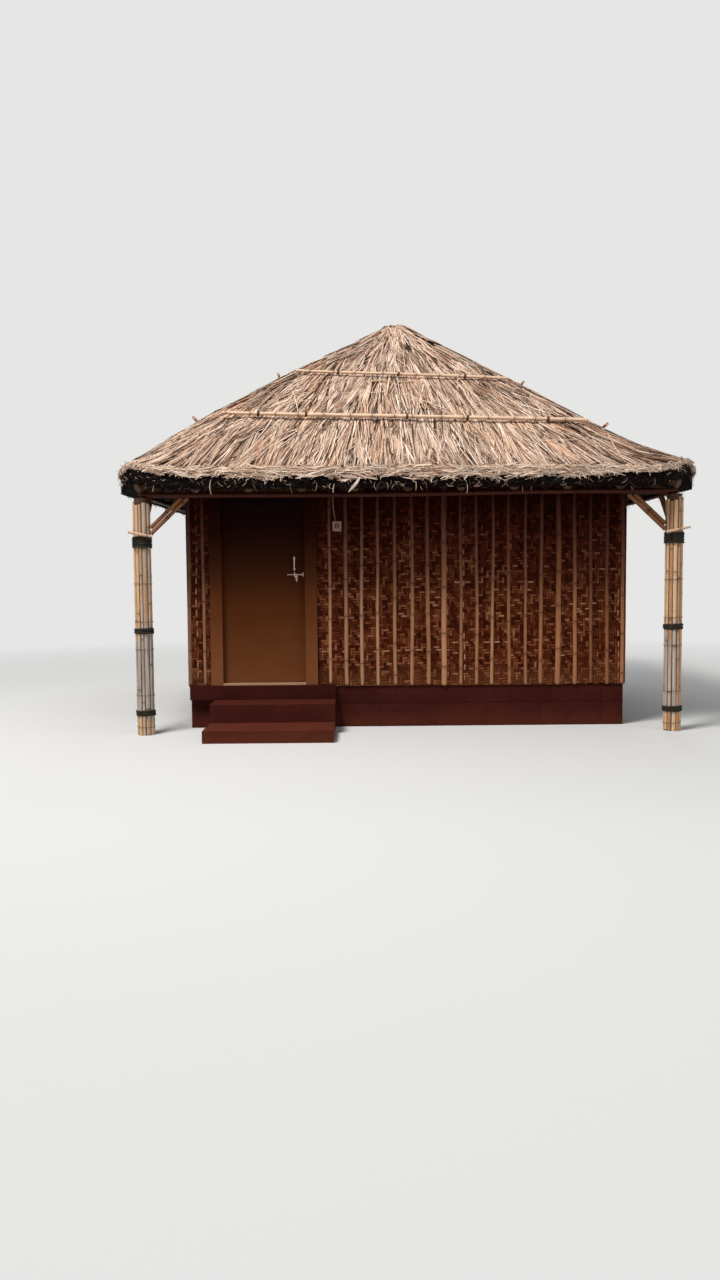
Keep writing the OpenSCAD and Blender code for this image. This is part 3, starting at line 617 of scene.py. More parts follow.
def straw_piece(name, paths, sides, widths, fold, tones, warms, shades=0.0):
    """Many leaf strands as one piece. paths and sides are (n, k, 3), widths (n, k), and fold (n, 3) is the
    way that each strand's ridge stands up."""
    n, k, _ = paths.shape
    half = sides * widths[..., None] / 2
    verts = np.stack([paths - half, paths + fold[:, None, :] * widths[..., None], paths + half], 2)
    lengths = np.linalg.norm(np.diff(paths, axis=1), axis=2)
    along = np.concatenate([np.zeros((n, 1)), np.cumsum(lengths, 1)], 1)
    uv = np.empty((n, k, 3, 2))
    uv[..., 0] = np.array([-1.0, 0.0, 1.0]) * 0.01 + tones[:, None, None] * 3
    uv[..., 1] = along[..., None] + tones[:, None, None] * 11
    looks = {"tone": tones, "warm": warms, "shade": shades}
    looks = {key: np.repeat(np.broadcast_to(value, (n,)), k * 3) for key, value in looks.items()}
    faces = many_faces(grid_faces(k, 3), n, k * 3)
    add_piece(name, verts.reshape(-1, 3), faces, uv.reshape(-1, 2), STRAW, "palm_thatch", **looks)


def across_run(paths, normal):
    """The direction square to each strand's run and to a normal."""
    return unit(np.cross(unit(np.gradient(paths, axis=-2)), normal))


def solids_of(node):
    """The points of a node's separate solids, found by joining faces that share a corner."""
    mesh = nodes[node].data
    co = np.array([v.co for v in mesh.vertices])
    _, link = np.unique(np.round(co, 4), axis=0, return_inverse=True)
    link = link.ravel()
    parent = list(range(link.max() + 1))

    def root(i):
        while parent[i] != i:
            parent[i] = parent[parent[i]]
            i = parent[i]
        return i
    for poly in mesh.polygons:
        first, *others = [link[i] for i in poly.vertices]
        for other in others:
            parent[root(other)] = root(first)
    groups = {}
    for i, key in enumerate(link):
        groups.setdefault(root(key), {})[key] = co[i]
    return [np.array(list(group.values())) for group in groups.values()]


def rod_ends(node):
    """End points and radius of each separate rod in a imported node."""
    found = []
    for points in solids_of(node):
        middle = points.mean(0)
        axis = np.linalg.svd(points - middle)[2][0]
        along = (points - middle) @ axis
        off = points - middle - along[:, None] * axis
        radius = np.median(np.linalg.norm(off, axis=1))
        found.append((points[along < 0].mean(0), points[along > 0].mean(0), radius))
    return found


# The roof's surface as a table over direction and distance from the middle. The directions are a little
# off the round numbers, so that no ray runs down a seam between two slopes.

DIRECTIONS, STEPS, OFF_SEAM = 1440, 120, 0.13


def eave_distance(angle):
    """How far the eave is from the middle in a direction, for the square plan with rounded corners."""
    c, s = np.abs(np.cos(angle)), np.abs(np.sin(angle))
    u, v = np.maximum(c, s), np.minimum(c, s)
    flat, r = EAVE * FLAT_SHARE, EAVE * HIP_SHARE
    straight = EAVE / u
    corner = flat * (u + v) + np.sqrt(np.maximum((flat * (u + v)) ** 2 - 2 * flat ** 2 + r ** 2, 0))
    return np.where(v * straight <= flat, straight, corner)


def roof_table():
    verts, faces = [], []
    for side in SIDES:
        mesh = nodes["thatch_" + side].data
        start = len(verts)
        verts += [v.co.copy() for v in mesh.vertices]
        faces += [[start + i for i in poly.vertices] for poly in mesh.polygons]
    tree = BVHTree.FromPolygons(verts, faces)
    top = np.zeros((DIRECTIONS, STEPS + 1))
    under = np.zeros(DIRECTIONS)
    down, up = Vector((0, 0, -1)), Vector((0, 0, 1))
    edges = eave_distance(TURN * (np.arange(DIRECTIONS) + OFF_SEAM) / DIRECTIONS)
    for i in range(DIRECTIONS):
        angle = TURN * (i + OFF_SEAM) / DIRECTIONS
        c, s = math.cos(angle), math.sin(angle)
        for j in range(STEPS + 1):
            r = max(0.02, min(j / STEPS, 0.9985) * edges[i])
            hit = tree.ray_cast(Vector((r * c, r * s, 9)), down)[0]
            top[i, j] = hit.z if hit else top[i, j - 1]
        r = 0.996 * edges[i]
        hit = tree.ray_cast(Vector((r * c, r * s, 0.5)), up)[0]
        under[i] = hit.z if hit else top[i, -1] - 0.17
    return top, under


ROOF_TOP, ROOF_UNDER = roof_table()


def roof_height(x, y):
    """Height of the thatch at points in plan; beyond the eave it goes on at the same pitch."""
    angle = np.arctan2(y, x)
    edge = eave_distance(angle)
    share = np.hypot(x, y) / edge
    i = (angle / TURN * DIRECTIONS - OFF_SEAM) % DIRECTIONS
    i0 = np.floor(i).astype(int) % DIRECTIONS
    i1 = (i0 + 1) % DIRECTIONS
    fi = i - np.floor(i)
    j = np.clip(share, 0, 1) * STEPS
    j0 = np.minimum(np.floor(j).astype(int), STEPS - 1)
    fj = j - j0
    z = ((1 - fi) * ((1 - fj) * ROOF_TOP[i0, j0] + fj * ROOF_TOP[i0, j0 + 1])
         + fi * ((1 - fj) * ROOF_TOP[i1, j0] + fj * ROOF_TOP[i1, j0 + 1]))
    return z - np.maximum(share - 1, 0) * edge * SLOPE


def roof_normal(x, y, step=0.09):
    dx = (roof_height(x + step, y) - roof_height(x - step, y)) / (2 * step)
    dy = (roof_height(x, y + step) - roof_height(x, y - step)) / (2 * step)
    return unit(xyz(-dx, -dy, 1))


def under_height(x, y):
    i = np.round(np.arctan2(y, x) / TURN * DIRECTIONS - OFF_SEAM).astype(int) % DIRECTIONS
    return ROOF_UNDER[i]


def eave_share(x, y):
    """How far out points are, as a share of the way to the eave."""
    return np.hypot(x, y) / eave_distance(np.arctan2(y, x))


def slope_point(w, way):
    """Plan point of the front slope, at a distance w from the middle and a share of the way across."""
    corner = np.clip((np.abs(way) - FLAT_SHARE) / (HALF_WAY - FLAT_SHARE), 0, 1)
    turn = math.pi / 4 * corner
    x = np.where(corner > 0, np.sign(way) * (FLAT_SHARE + HIP_SHARE * np.sin(turn)), way)
    y = np.where(corner > 0, -(FLAT_SHARE + HIP_SHARE * np.cos(turn)), -1)
    return w * x, w * y


# Thatch

BACKING_DROP, BACKING_INSET, EDGE_ROUND = 0.020, 0.014, 0.03


def thatch_backing(side):
    """The body of the thatch, just under the strands, with its cut edge and its underside."""
    m = turned(side)
    way = np.linspace(-HALF_WAY, HALF_WAY, 113)
    rim = EAVE - BACKING_INSET
    rows = []
    for w in [0.03, *np.linspace(0.12, EAVE - 0.12, 22), rim - EDGE_ROUND, rim]:
        x, y = slope_point(np.full_like(way, w), way)
        world = xyz(x, y, 0) @ m.T
        drop = BACKING_DROP + 0.015 * max(0.0, (w - EAVE + BACKING_INSET + EDGE_ROUND) / EDGE_ROUND)
        rows.append(xyz(x, y, roof_height(world[:, 0], world[:, 1]) - drop))
    edge = rows[-1]
    soffit = UNDER_EDGE + SLOPE * EAVE
    bottom = soffit + SLOPE * edge[:, 1]
    for share in (0.35, 0.7, 1.0):
        rows.append(xyz(edge[:, 0], edge[:, 1], edge[:, 2] * (1 - share) + (bottom + 0.004) * share))
    for w in np.linspace(EAVE - 0.15, 0.25, 8):
        x, y = slope_point(np.full_like(way, w), way)
        rows.append(xyz(x, y, soffit + SLOPE * y + 0.004))
    verts = np.concatenate(rows) @ m.T
    faces = grid_faces(len(rows), len(way))
    name, uv = "thatch_backing_" + SIDES[side], verts[:, :2] * 0.5
    piece = add_piece(name, verts, faces, uv, BACKING, "palm_thatch")
    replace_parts(piece, "thatch_" + SIDES[side])


# Clumps of leaf: the courses' distance down the slope, the spacing across it on each side, strands in a clump
COURSE, CLUMP_SPACING, CLUMP_STRANDS = 0.15, (0.120, 0.135, 0.150, 0.135), 18
DARK_SHARE, THIN_SHARE = 0.30, 0.46


def clump_places(spacing):
    """Distances down the slope and shares across it for the tops of the leaf clumps, course by course."""
    w, way = [], []
    for row in np.arange(0.07, EAVE - 0.10, COURSE):
        count = max(7, int(2 * (row + 0.16) * HALF_WAY / spacing))
        way.append(((np.arange(count) + rng.uniform(0, 1, count)) / count * 2 - 1) * HALF_WAY)
        w.append(np.maximum(row + rng.uniform(-0.08, 0.08, count), 0.05))
    return np.concatenate(w), np.concatenate(way)


def laid_on_roof(x, y, lift, stiffness=0.6):
    """Heights of strands with plan points x, y (n, k): stiff, so they bridge the hollows between bundles."""
    ground = roof_height(x, y)
    t = np.linspace(0, 1, x.shape[1])
    line = ground[:, :1] * (1 - t) + ground[:, -1:] * t
    over = np.maximum((ground - line).max(1, keepdims=True), 0)
    return ground * (1 - stiffness) + (line + 0.6 * over) * stiffness + lift


def lay_strands(start, heading, length, bend, lift, width, taper, roll):
    """Leaf strands on the roof from plan points, each stopped at the eave. lift is (n, 2): at top and tip."""
    n, k = len(start), 4
    t = np.linspace(0, 1, k)
    run = np.stack([np.cos(heading), np.sin(heading)], 1)
    across = np.stack([-run[:, 1], run[:, 0]], 1)
    end = start + run * length[:, None]
    beyond = np.maximum(eave_share(*end.T) - 0.994 + rng.uniform(-0.004, 0.01, n), 0) * EAVE * 1.05
    start = start - run * beyond[:, None]
    bow = (bend[:, None] * np.sin(t * np.pi))[..., None] * across[:, None]
    plan = start[:, None] + (run * length[:, None])[:, None] * t[None, :, None] + bow
    x, y = plan[..., 0], plan[..., 1]
    keep = np.minimum(1, 1.002 / np.maximum(eave_share(x, y), 1e-6))
    x, y = x * keep, y * keep
    paths = xyz(x, y, laid_on_roof(x, y, lift[:, :1] * (1 - t) + lift[:, 1:] * t))
    up = roof_normal(x[:, 2], y[:, 2])
    side = across_run(paths, up[:, None, :])
    side = side * np.cos(roll)[:, None, None] + up[:, None, :] * np.sin(roll)[:, None, None]
    widths = width[:, None] * np.interp(t, [0, 0.3, 0.7, 1.0], [0.8, 1.0, 0.9, taper])[None]
    return paths, side, widths, up


def thatch_strands(side):
    """The strands of one slope, in clumps that overlap down the slope and fan out towards the hips."""
    w, way = clump_places(CLUMP_SPACING[side])
    n, m = len(w), CLUMP_STRANDS
    x, y = slope_point(w, way)
    radial = np.arctan2(y, x) + QUARTER
    sweep = np.clip((np.abs(way) - 0.55) / 0.4, 0, 1) * w / EAVE
    heading = -QUARTER + radial * (rng.uniform(0.55, 1.15, n) + 0.40 * sweep) + rng.normal(0, 0.12, n)
    length = rng.uniform(0.42, 0.74, n) * np.clip(0.5 + w * 0.6, 0.5, 1)
    top_half, tip_half = rng.uniform(0.02, 0.055, n), rng.uniform(0.05, 0.12, n)
    swap = rng.random(n) < 0.2
    top_half, tip_half = np.where(swap, tip_half, top_half), np.where(swap, top_half, tip_half)
    squeeze = np.clip(0.35 + w * 0.5, 0.35, 1)
    patches = np.sin(x * 2.9 + side) * np.sin(w * 3.7 + 2 * side) + 0.6 * np.sin(x * 7.3 + w * 5.1)
    clump_tone = 0.37 + 0.34 * rng.beta(2.0, 1.8, n) - 0.15 * sweep + 0.05 * patches
    kind = rng.random(n)
    orange = rng.uniform(0.3, 0.9, n)
    clump_warm = np.where(kind < 0.14, orange, np.where(kind < 0.30, -rng.uniform(0.3, 0.8, n), 0.0))
    clump_lift = rng.uniform(0, 0.012, n)

    # Each strand runs from its place across the clump's top to its place across the tip
    s = np.linspace(-1, 1, m)[None] + rng.normal(0, 0.10, (n, m))
    run = np.stack([np.cos(heading), np.sin(heading)], 1)
    across = np.stack([-run[:, 1], run[:, 0]], 1)
    a = (s * (top_half * squeeze)[:, None])[..., None]
    b = (s * (tip_half * squeeze)[:, None] + rng.normal(0, 0.007, (n, m)))[..., None]
    slide = rng.uniform(-0.06, 0.06, (n, m))[..., None]
    start = np.stack([x, y], 1)[:, None] + across[:, None] * a + run[:, None] * slide
    reach = (length[:, None] * rng.uniform(0.7, 1.1, (n, m)))[..., None]
    end = start + run[:, None] * reach + across[:, None] * (b - a)
    start, end = start.reshape(-1, 2), end.reshape(-1, 2)
    total = n * m
    step = end - start
    kind = rng.random(total)
    width = np.where(kind < THIN_SHARE, rng.uniform(0.007, 0.013, total), rng.uniform(0.012, 0.025, total))
    tones = np.repeat(clump_tone, m) + rng.normal(0, 0.20, total)
    dark, pale = rng.uniform(0.0, 0.16, total), rng.uniform(0.84, 1, total)
    tones = np.where(kind < DARK_SHARE, dark, np.where(kind < THIN_SHARE, pale, tones))
    warms = np.repeat(clump_warm, m) + rng.normal(0.03, 0.12, total)
    lift = np.stack([rng.uniform(-0.012, -0.004, total), rng.uniform(-0.002, 0.014, total)], 1)
    lift = np.repeat(clump_lift, m)[:, None] + lift
    q = turned(side)[:2, :2]
    paths, sides, widths, up = lay_strands(
        start @ q.T, np.arctan2(step[:, 1], step[:, 0]) + side * QUARTER, np.linalg.norm(step, axis=1),
        rng.normal(0, 0.006, total), lift, width, 0.3, rng.normal(0, 0.35, total))
    fold = up * (rng.uniform(0.10, 0.35, total) * np.where(rng.random(total) < 0.7, 1, -0.7))[:, None]
    straw_piece("thatch_strands_" + SIDES[side], paths, sides, widths, fold,
                np.clip(tones, 0, 1), np.clip(warms, -1, 1))


def loose_strands(n=620):
    """Long thin strands that lie across the others all over the roof."""
    w, way = EAVE * np.sqrt(rng.uniform(0.02, 0.82, n)), rng.uniform(-HALF_WAY, HALF_WAY, n)
    x, y = slope_point(w, way)
    side = rng.integers(0, 4, n)
    c, s = np.cos(side * QUARTER), np.sin(side * QUARTER)
    start = np.stack([x * c - y * s, x * s + y * c], 1)
    heading = np.arctan2(start[:, 1], start[:, 0]) + rng.normal(0, 0.45, n)
    length = rng.uniform(0.35, 0.85, n) * np.clip(0.4 + w * 0.5, 0.4, 1)
    lift = np.stack([rng.uniform(0.0, 0.012, n), rng.uniform(0.012, 0.028, n)], 1)
    width = rng.uniform(0.006, 0.014, n)
    paths, sides, widths, up = lay_strands(start, heading, length, rng.normal(0, 0.035, n), lift, width, 0.4,
                                           rng.normal(0, 0.4, n))
    fold = up * rng.uniform(0.1, 0.4, n)[:, None]
    straw_piece("thatch_loose_strands", paths, sides, widths, fold, rng.uniform(0.55, 1.0, n),
                rng.uniform(-0.5, 0.4, n))


def eave_line(at):
    """Point on the eave and its outward direction, at a share of the way round from the right side."""
    flat, r = EAVE * FLAT_SHARE, EAVE * HIP_SHARE
    side, corner = 2 * flat, QUARTER * r
    d = (at % 1.0) * 4 * (side + corner)
    turn = np.floor(d / (side + corner)).astype(int)
    d = d - turn * (side + corner)
    a = np.where(d < side, 0, (d - side) / r)
    x = np.where(d < side, EAVE, flat + r * np.cos(a))
    y = np.where(d < side, d - flat, flat + r * np.sin(a))
    c, s = np.cos(turn * QUARTER), np.sin(turn * QUARTER)
    out = np.stack([np.cos(a) * c - np.sin(a) * s, np.cos(a) * s + np.sin(a) * c], 1)
    return np.stack([x * c - y * s, x * s + y * c], 1), out


# Straw on the cut edge of the thatch, as ranges: level up the edge, inset behind it, slant of the strand from
# level in degrees, outward lean, reach, curl, width, tone and shade
FRINGES = {
    "fringe_lip": dict(
        count=3000, level=(0.93, 1.02), inset=(0.0, 0.10), slant=(-22, 16), outward=(0.0, 0.35),
        reach=(0.12, 0.34), curl=(-0.05, 0.10), width=(0.009, 0.019), tone=(0.08, 1.0), shade=(0.0, 0.06),
        droop=0.12, pale=0.30),
    "fringe_tangle": dict(
        count=5600, level=(0.56, 0.99), inset=(-0.016, 0.03), slant=(-28, 20), outward=(-0.15, 0.2),
        reach=(0.08, 0.24), curl=(0.0, 0.10), width=(0.008, 0.018), tone=(0.08, 1.0), shade=(0.0, 0.06),
        k=3, ragged=0.13, pale=0.26),
    "fringe_ends": dict(
        count=4000, level=(0.52, 0.96), inset=(-0.018, 0.02), slant=(-88, -30), outward=(-0.1, 0.5),
        reach=(0.03, 0.09), curl=(0.0, 0.2), width=(0.007, 0.014), tone=(0.10, 1.0), shade=(0.0, 0.06),
        k=3, ragged=0.2, pale=0.24),
    "fringe_dark": dict(
        count=3600, level=(0.02, 0.58), inset=(0.0, 0.05), slant=(-60, 60), outward=(-0.3, 0.3),
        reach=(0.04, 0.12), curl=(0.0, 0.2), width=(0.006, 0.014), tone=(0.0, 0.25), shade=(0.9, 1.0), k=3),
    "fringe_flecks": dict(
        count=520, level=(0.05, 0.5), inset=(-0.01, 0.03), slant=(-85, 60), outward=(-0.2, 0.4),
        reach=(0.03, 0.09), curl=(0.0, 0.3), width=(0.004, 0.009), tone=(0.4, 0.9), shade=(0.1, 0.6)),
    "fringe_hanging": dict(
        count=90, level=(0.0, 0.3), inset=(0.0, 0.04), slant=(-95, -70), outward=(-0.1, 0.2),
        reach=(0.09, 0.19), curl=(0.0, 0.2), width=(0.005, 0.012), tone=(0.3, 0.95), shade=(0.1, 0.6), k=5),
}


def fringe(name, count, level, inset, slant, outward, reach, curl, width, tone, shade, droop=0.0, k=4,
           ragged=0.0, pale=1.0):
    n = count
    at = rng.random(n)
    p, out = eave_line(at)
    top = roof_height(p[:, 0] * 0.985, p[:, 1] * 0.985)
    under = under_height(p[:, 0], p[:, 1])
    wave = np.sin(at * TURN * 61) + np.sin(at * TURN * 137 + 1) + np.sin(at * TURN * 29 + 2)
    corner = np.clip((np.abs(p[:, 0] * p[:, 1]) / EAVE ** 2 - 0.55) / 0.25, 0, 1)
    depth = (level[1] - level[0]) * rng.random(n) * (1 + ragged * wave) * (1 - 0.45 * corner * (ragged > 0))
    share = level[1] - depth
    out3 = xyz(out[:, 0], out[:, 1], 0)
    side3 = xyz(-out[:, 1], out[:, 0], 0) * np.where(rng.random(n) < 0.5, 1, -1)[:, None]
    angle = np.radians(rng.uniform(*slant, n))[:, None]
    run = unit(side3 * np.cos(angle) + UP * np.sin(angle) + out3 * rng.uniform(*outward, n)[:, None])
    bow = unit(np.cross(run, out3)) * np.where(rng.random(n) < 0.5, 1, -1)[:, None]
    length = rng.uniform(*reach, n) * (1 - 0.35 * corner)
    t = np.linspace(0, 1, k)
    start = xyz(p[:, 0], p[:, 1], under + share * (top - under)) - out3 * rng.uniform(*inset, n)[:, None]
    along = (t - 0.5)[None, :, None] * (run * length[:, None])[:, None]
    arch = (rng.uniform(*curl, n)[:, None] * length[:, None] * (4 * t * (1 - t))[None])[..., None]
    fall = (droop * length[:, None] * t ** 2)[..., None] * UP
    paths = start[:, None] + along + arch * (bow * 0.7 + out3 * 0.3)[:, None] - fall
    sides = across_run(paths, unit(out3 + rng.normal(0, 0.5, (n, 3)))[:, None])
    widths = rng.uniform(*width, n)[:, None] * np.interp(t, [0, 0.5, 1], [0.6, 1, 0.45])[None]
    fold = out3 * rng.uniform(0.05, 0.3, n)[:, None]
    tones = tone[0] + (tone[1] - tone[0]) * rng.random(n) ** pale
    straw_piece(name, paths, sides, widths, fold, tones, rng.uniform(-0.5, 0.5, n), rng.uniform(*shade, n))


LEAF_TOP, LEAF_REACH, LEAF_WIDTH = (-0.50, 2.645), (-0.115, -0.150), 0.030


def hanging_leaf():
    """The one broad leaf that curls down from the eave beside the door."""
    t = np.linspace(0, 1, 9)
    face = -(EAVE + 0.012)
    x = LEAF_TOP[0] + LEAF_REACH[0] * t ** 1.3
    points = xyz(x, face - 0.03 * np.sin(t * np.pi), LEAF_TOP[1] + LEAF_REACH[1] * t ** 0.9)
    widths = LEAF_WIDTH * np.interp(t, [0, 0.35, 0.8, 1], [0.5, 1.0, 0.7, 0.15])
    sides = across_run(points, np.array([0.25, -1.0, 0.1]))
    straw_piece("eave_hanging_leaf", points[None], sides[None], widths[None], np.array([[0.0, -0.22, 0.0]]),
                np.array([0.95]), -0.3)


# The tuft at the peak: it leans left, and its dark hollow has rings of radius, height and shade
TUFT_X, TUFT_STRANDS, TUFT_CROSSING = -0.075, 330, 10
HOLLOW = np.array([
    (0.175, -0.092, 0.8), (0.140, -0.044, 0.9), (0.092, -0.002, 0.9), (0.068, 0.010, 0.8),
    (0.064, 0.016, 0.7), (0.05, 0.012, 0.9), (0.030, -0.006, 1.0), (0.001, -0.012, 1.0),
])


def peak_tuft():
    """Leaf ends tied at the peak, which fold over its rim and run down, crossing, over a dark hollow."""
    low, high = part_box("peak_tuft")
    n, crossing = TUFT_STRANDS, TUFT_CROSSING
    a = rng.uniform(0, TURN, n)
    t = np.linspace(0, 1, 7)
    bare = np.clip((np.abs(np.sin(a)) - 0.60) / 0.15, 0, 1)
    start_r = rng.uniform(0.050, 0.092, n) + 0.090 * bare
    heading = a + rng.normal(0, 0.36, n)
    heading[:crossing] = a[:crossing] + rng.normal(0, 1.0, crossing)
    start_r[:crossing] = rng.uniform(0.06, 0.10, crossing)
    bare[:crossing] = 0
    length = rng.uniform(0.16, 0.62, n)[:, None]
    x = TUFT_X + np.cos(a)[:, None] * start_r[:, None] + np.cos(heading)[:, None] * length * t
    y = np.sin(a)[:, None] * start_r[:, None] + np.sin(heading)[:, None] * length * t
    top = low[2] + rng.uniform(-0.010, 0.014, n) + 0.010 * np.abs(np.cos(a)) - 0.085 * bare
    lift = rng.uniform(0.004, 0.022, n)[:, None] + 0.016 * (np.arange(n) < crossing)[:, None]
    free = top[:, None] + 0.012 * np.sin(t * 2.2)[None] - length * t * 1.15
    paths = xyz(x, y, np.minimum(np.maximum(free, roof_height(x, y) + lift), high[2] + 0.012))
    sides = across_run(paths, UP + rng.normal(0, 0.35, (n, 1, 3)))
    widths = rng.uniform(0.008, 0.017, n)[:, None] * np.interp(t, [0, 0.3, 0.8, 1], [0.6, 1, 0.9, 0.3])[None]
    fold = np.tile(0.22 * UP, (n, 1))
    tones = np.where(np.arange(n) < crossing, 0.95, np.clip(rng.normal(0.62, 0.2, n), 0.1, 1))
    straw_piece("peak_strands", paths, sides, widths, fold, tones, rng.uniform(-0.6, 0.6, n))

    heart = Parts()
    around = 36
    radius, height, shade = HOLLOW.T
    angles = np.linspace(0, TURN, around, endpoint=False)
    wave = 1 + 0.10 * np.sin(angles * 7 + 1) + 0.06 * np.sin(angles * 13)
    radius = radius[:, None]
    x, y = TUFT_X + radius * np.cos(angles) * wave, radius * np.sin(angles) * wave
    ring = xyz(x, y, low[2] + height[:, None])
    uv = np.stack([np.tile(angles * 0.1, len(HOLLOW)), np.repeat(height, around)], 1)
    heart.add(ring.reshape(-1, 3), grid_faces(len(HOLLOW), around, True), uv, tone=0.2, warm=0.0,
              shade=np.repeat(shade, around))
    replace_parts(heart.build("peak_heart", STRAW, "palm_thatch"), "peak_tuft")


# Poles on the thatch. Each is lapped from lengths, as shares of its run, and tied at some of them. The photo
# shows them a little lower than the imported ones, the low front one most at its left end.
LOW_LAPS, HIGH_LAPS = ((0.0, 0.505), (0.485, 0.79), (0.75, 1.0)), ((0.0, 0.53), (0.50, 1.0))
LOW_TIES, HIGH_TIES = (0.11, 0.33, 0.495, 0.77, 0.9), (0.2, 0.515, 0.8)
POLE_SLIDE, POLE_SLANT = 0.095, 0.018


def wound_tie(parts, at, along, radius, turns=3, pitch=0.009, cord=0.0045):
    """Cord wound round a pole at a point, square to its length."""
    side = unit(np.cross(along, UP))
    up = np.cross(side, along)
    a = np.linspace(0, TURN * turns, 10 * turns)
    ring = (at + np.cos(a)[:, None] * side * radius + np.sin(a)[:, None] * up * radius
            + along * ((a / TURN - turns / 2) * pitch)[:, None])
    tube(parts, ring, cord)


def slid_down(end, reach):
    """A pole's end moved a little down the slope, still on the thatch."""
    side = np.argmax(np.abs(end[:2]))
    moved = end.copy()
    moved[side] += reach * np.sign(end[side])
    before, after = (roof_height(point[:1], point[1:2])[0] for point in (end, moved))
    moved[2] += after - before
    return moved


def binding_poles():
    """Bamboo lengths that hold the thatch down, lapped and tied, a little arched as they follow it."""
    poles, ties = Parts(), Parts()
    for a, b, radius in rod_ends("binding_poles"):
        low_pole = np.linalg.norm(b - a) > 3
        a, b = (slid_down(end, POLE_SLIDE - POLE_SLANT * end[0] * low_pole) for end in (a, b))
        run = unit(b - a)
        r = radius * (1.0 if low_pole else 0.82)
        for i, (start, stop) in enumerate(LOW_LAPS if low_pole else HIGH_LAPS):
            t = np.linspace(start, stop, 16)
            points = a + (b - a) * t[:, None]
            points[:, 2] += 0.008 * np.sin(t * np.pi * 1.6 + i) + (0.006 if i % 2 else -0.004)
            thick = r * rng.uniform(0.92, 1.04)
            culm(poles, points, thick, 0.30, 10, 0.14, 0.003, tone=rng.uniform(0.4, 1.0))
        for share in LOW_TIES if low_pole else HIGH_TIES:
            wound_tie(ties, a + (b - a) * share, run, r + 0.004)
    x, y = np.linspace(-0.42, 0.14, 8), np.full(8, -1.53)
    culm(poles, xyz(x, y, roof_height(x, y) + 0.020), 0.009, 0.2, 8, 0.2, 0.004, tone=0.1)
    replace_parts(poles.build("roof_poles", ROOF_BAMBOO, "roof_bamboo"), "binding_poles")
    ties.build("roof_pole_ties", TWINE, "tie_cord")


# Sticks along each side of the eave: from, to, and how far out of it
EAVE_STICKS = ((-2.45, 0.62, -0.010), (-0.2, 1.5, 0.002), (1.35, 2.6, -0.014))


def eave_sticks():
    """Thin sticks that pin the strands' tips down along the eave."""
    sticks = Parts()
    for side in range(4):
        m = turned(side)
        for x0, x1, out in EAVE_STICKS:
            x = np.linspace(x0, x1, 18)
            y = -(EAVE + out) + 0.10 * np.maximum(np.abs(x) - 2.25, 0)
            points = xyz(x, y, 0) @ m.T
            points[:, 2] = roof_height(points[:, 0] * 0.99, points[:, 1] * 0.99) + 0.004
            culm(sticks, points, 0.0085, 0.25, 8, 0.3, 0.005, tone=rng.uniform(0.3, 0.9))
    sticks.build("eave_sticks", ROOF_BAMBOO, "roof_bamboo")


# Mats. A float passes over two strips; lengths along it are in strips, rises in millimetres.

STRIP, STRIP_SHARE, PALE_STRIP_SHARE = 0.0285, (0.70, 0.90), 0.55
FLOAT_FINE = ((-1.12, -0.62, 0.62, 1.12), (-0.4, 2.4, 2.4, -0.4))
FLOAT_PLAIN = ((-1.12, 0.0, 1.12), (-0.4, 2.8, -0.4))
SMALLEST_FLOAT = 0.006
FRONT_JOINTS, SIDE_JOINTS = (0.466, 1.72), (-0.72, 0.64)
# Pale strips of the front mat, panel by panel: level, share of its floats that are pale, from, to
PALE_LEVELS = (
    [(0.845, 0.85, -0.95, 0.47)],
    [(0.93, 0.35, 0.6, 1.72), (0.905, 0.5, 0.47, 1.1), (0.78, 0.3, 0.9, 1.7), (0.70, 0.25, 0.6, 1.5)],
    [(1.33, 0.5, 1.72, 2.1), (1.27, 0.5, 1.72, 2.1), (1.70, 0.4, 1.9, 2.3)],
)
PALE_UPS = ([0.054], [0.63], [1.81, 2.31])


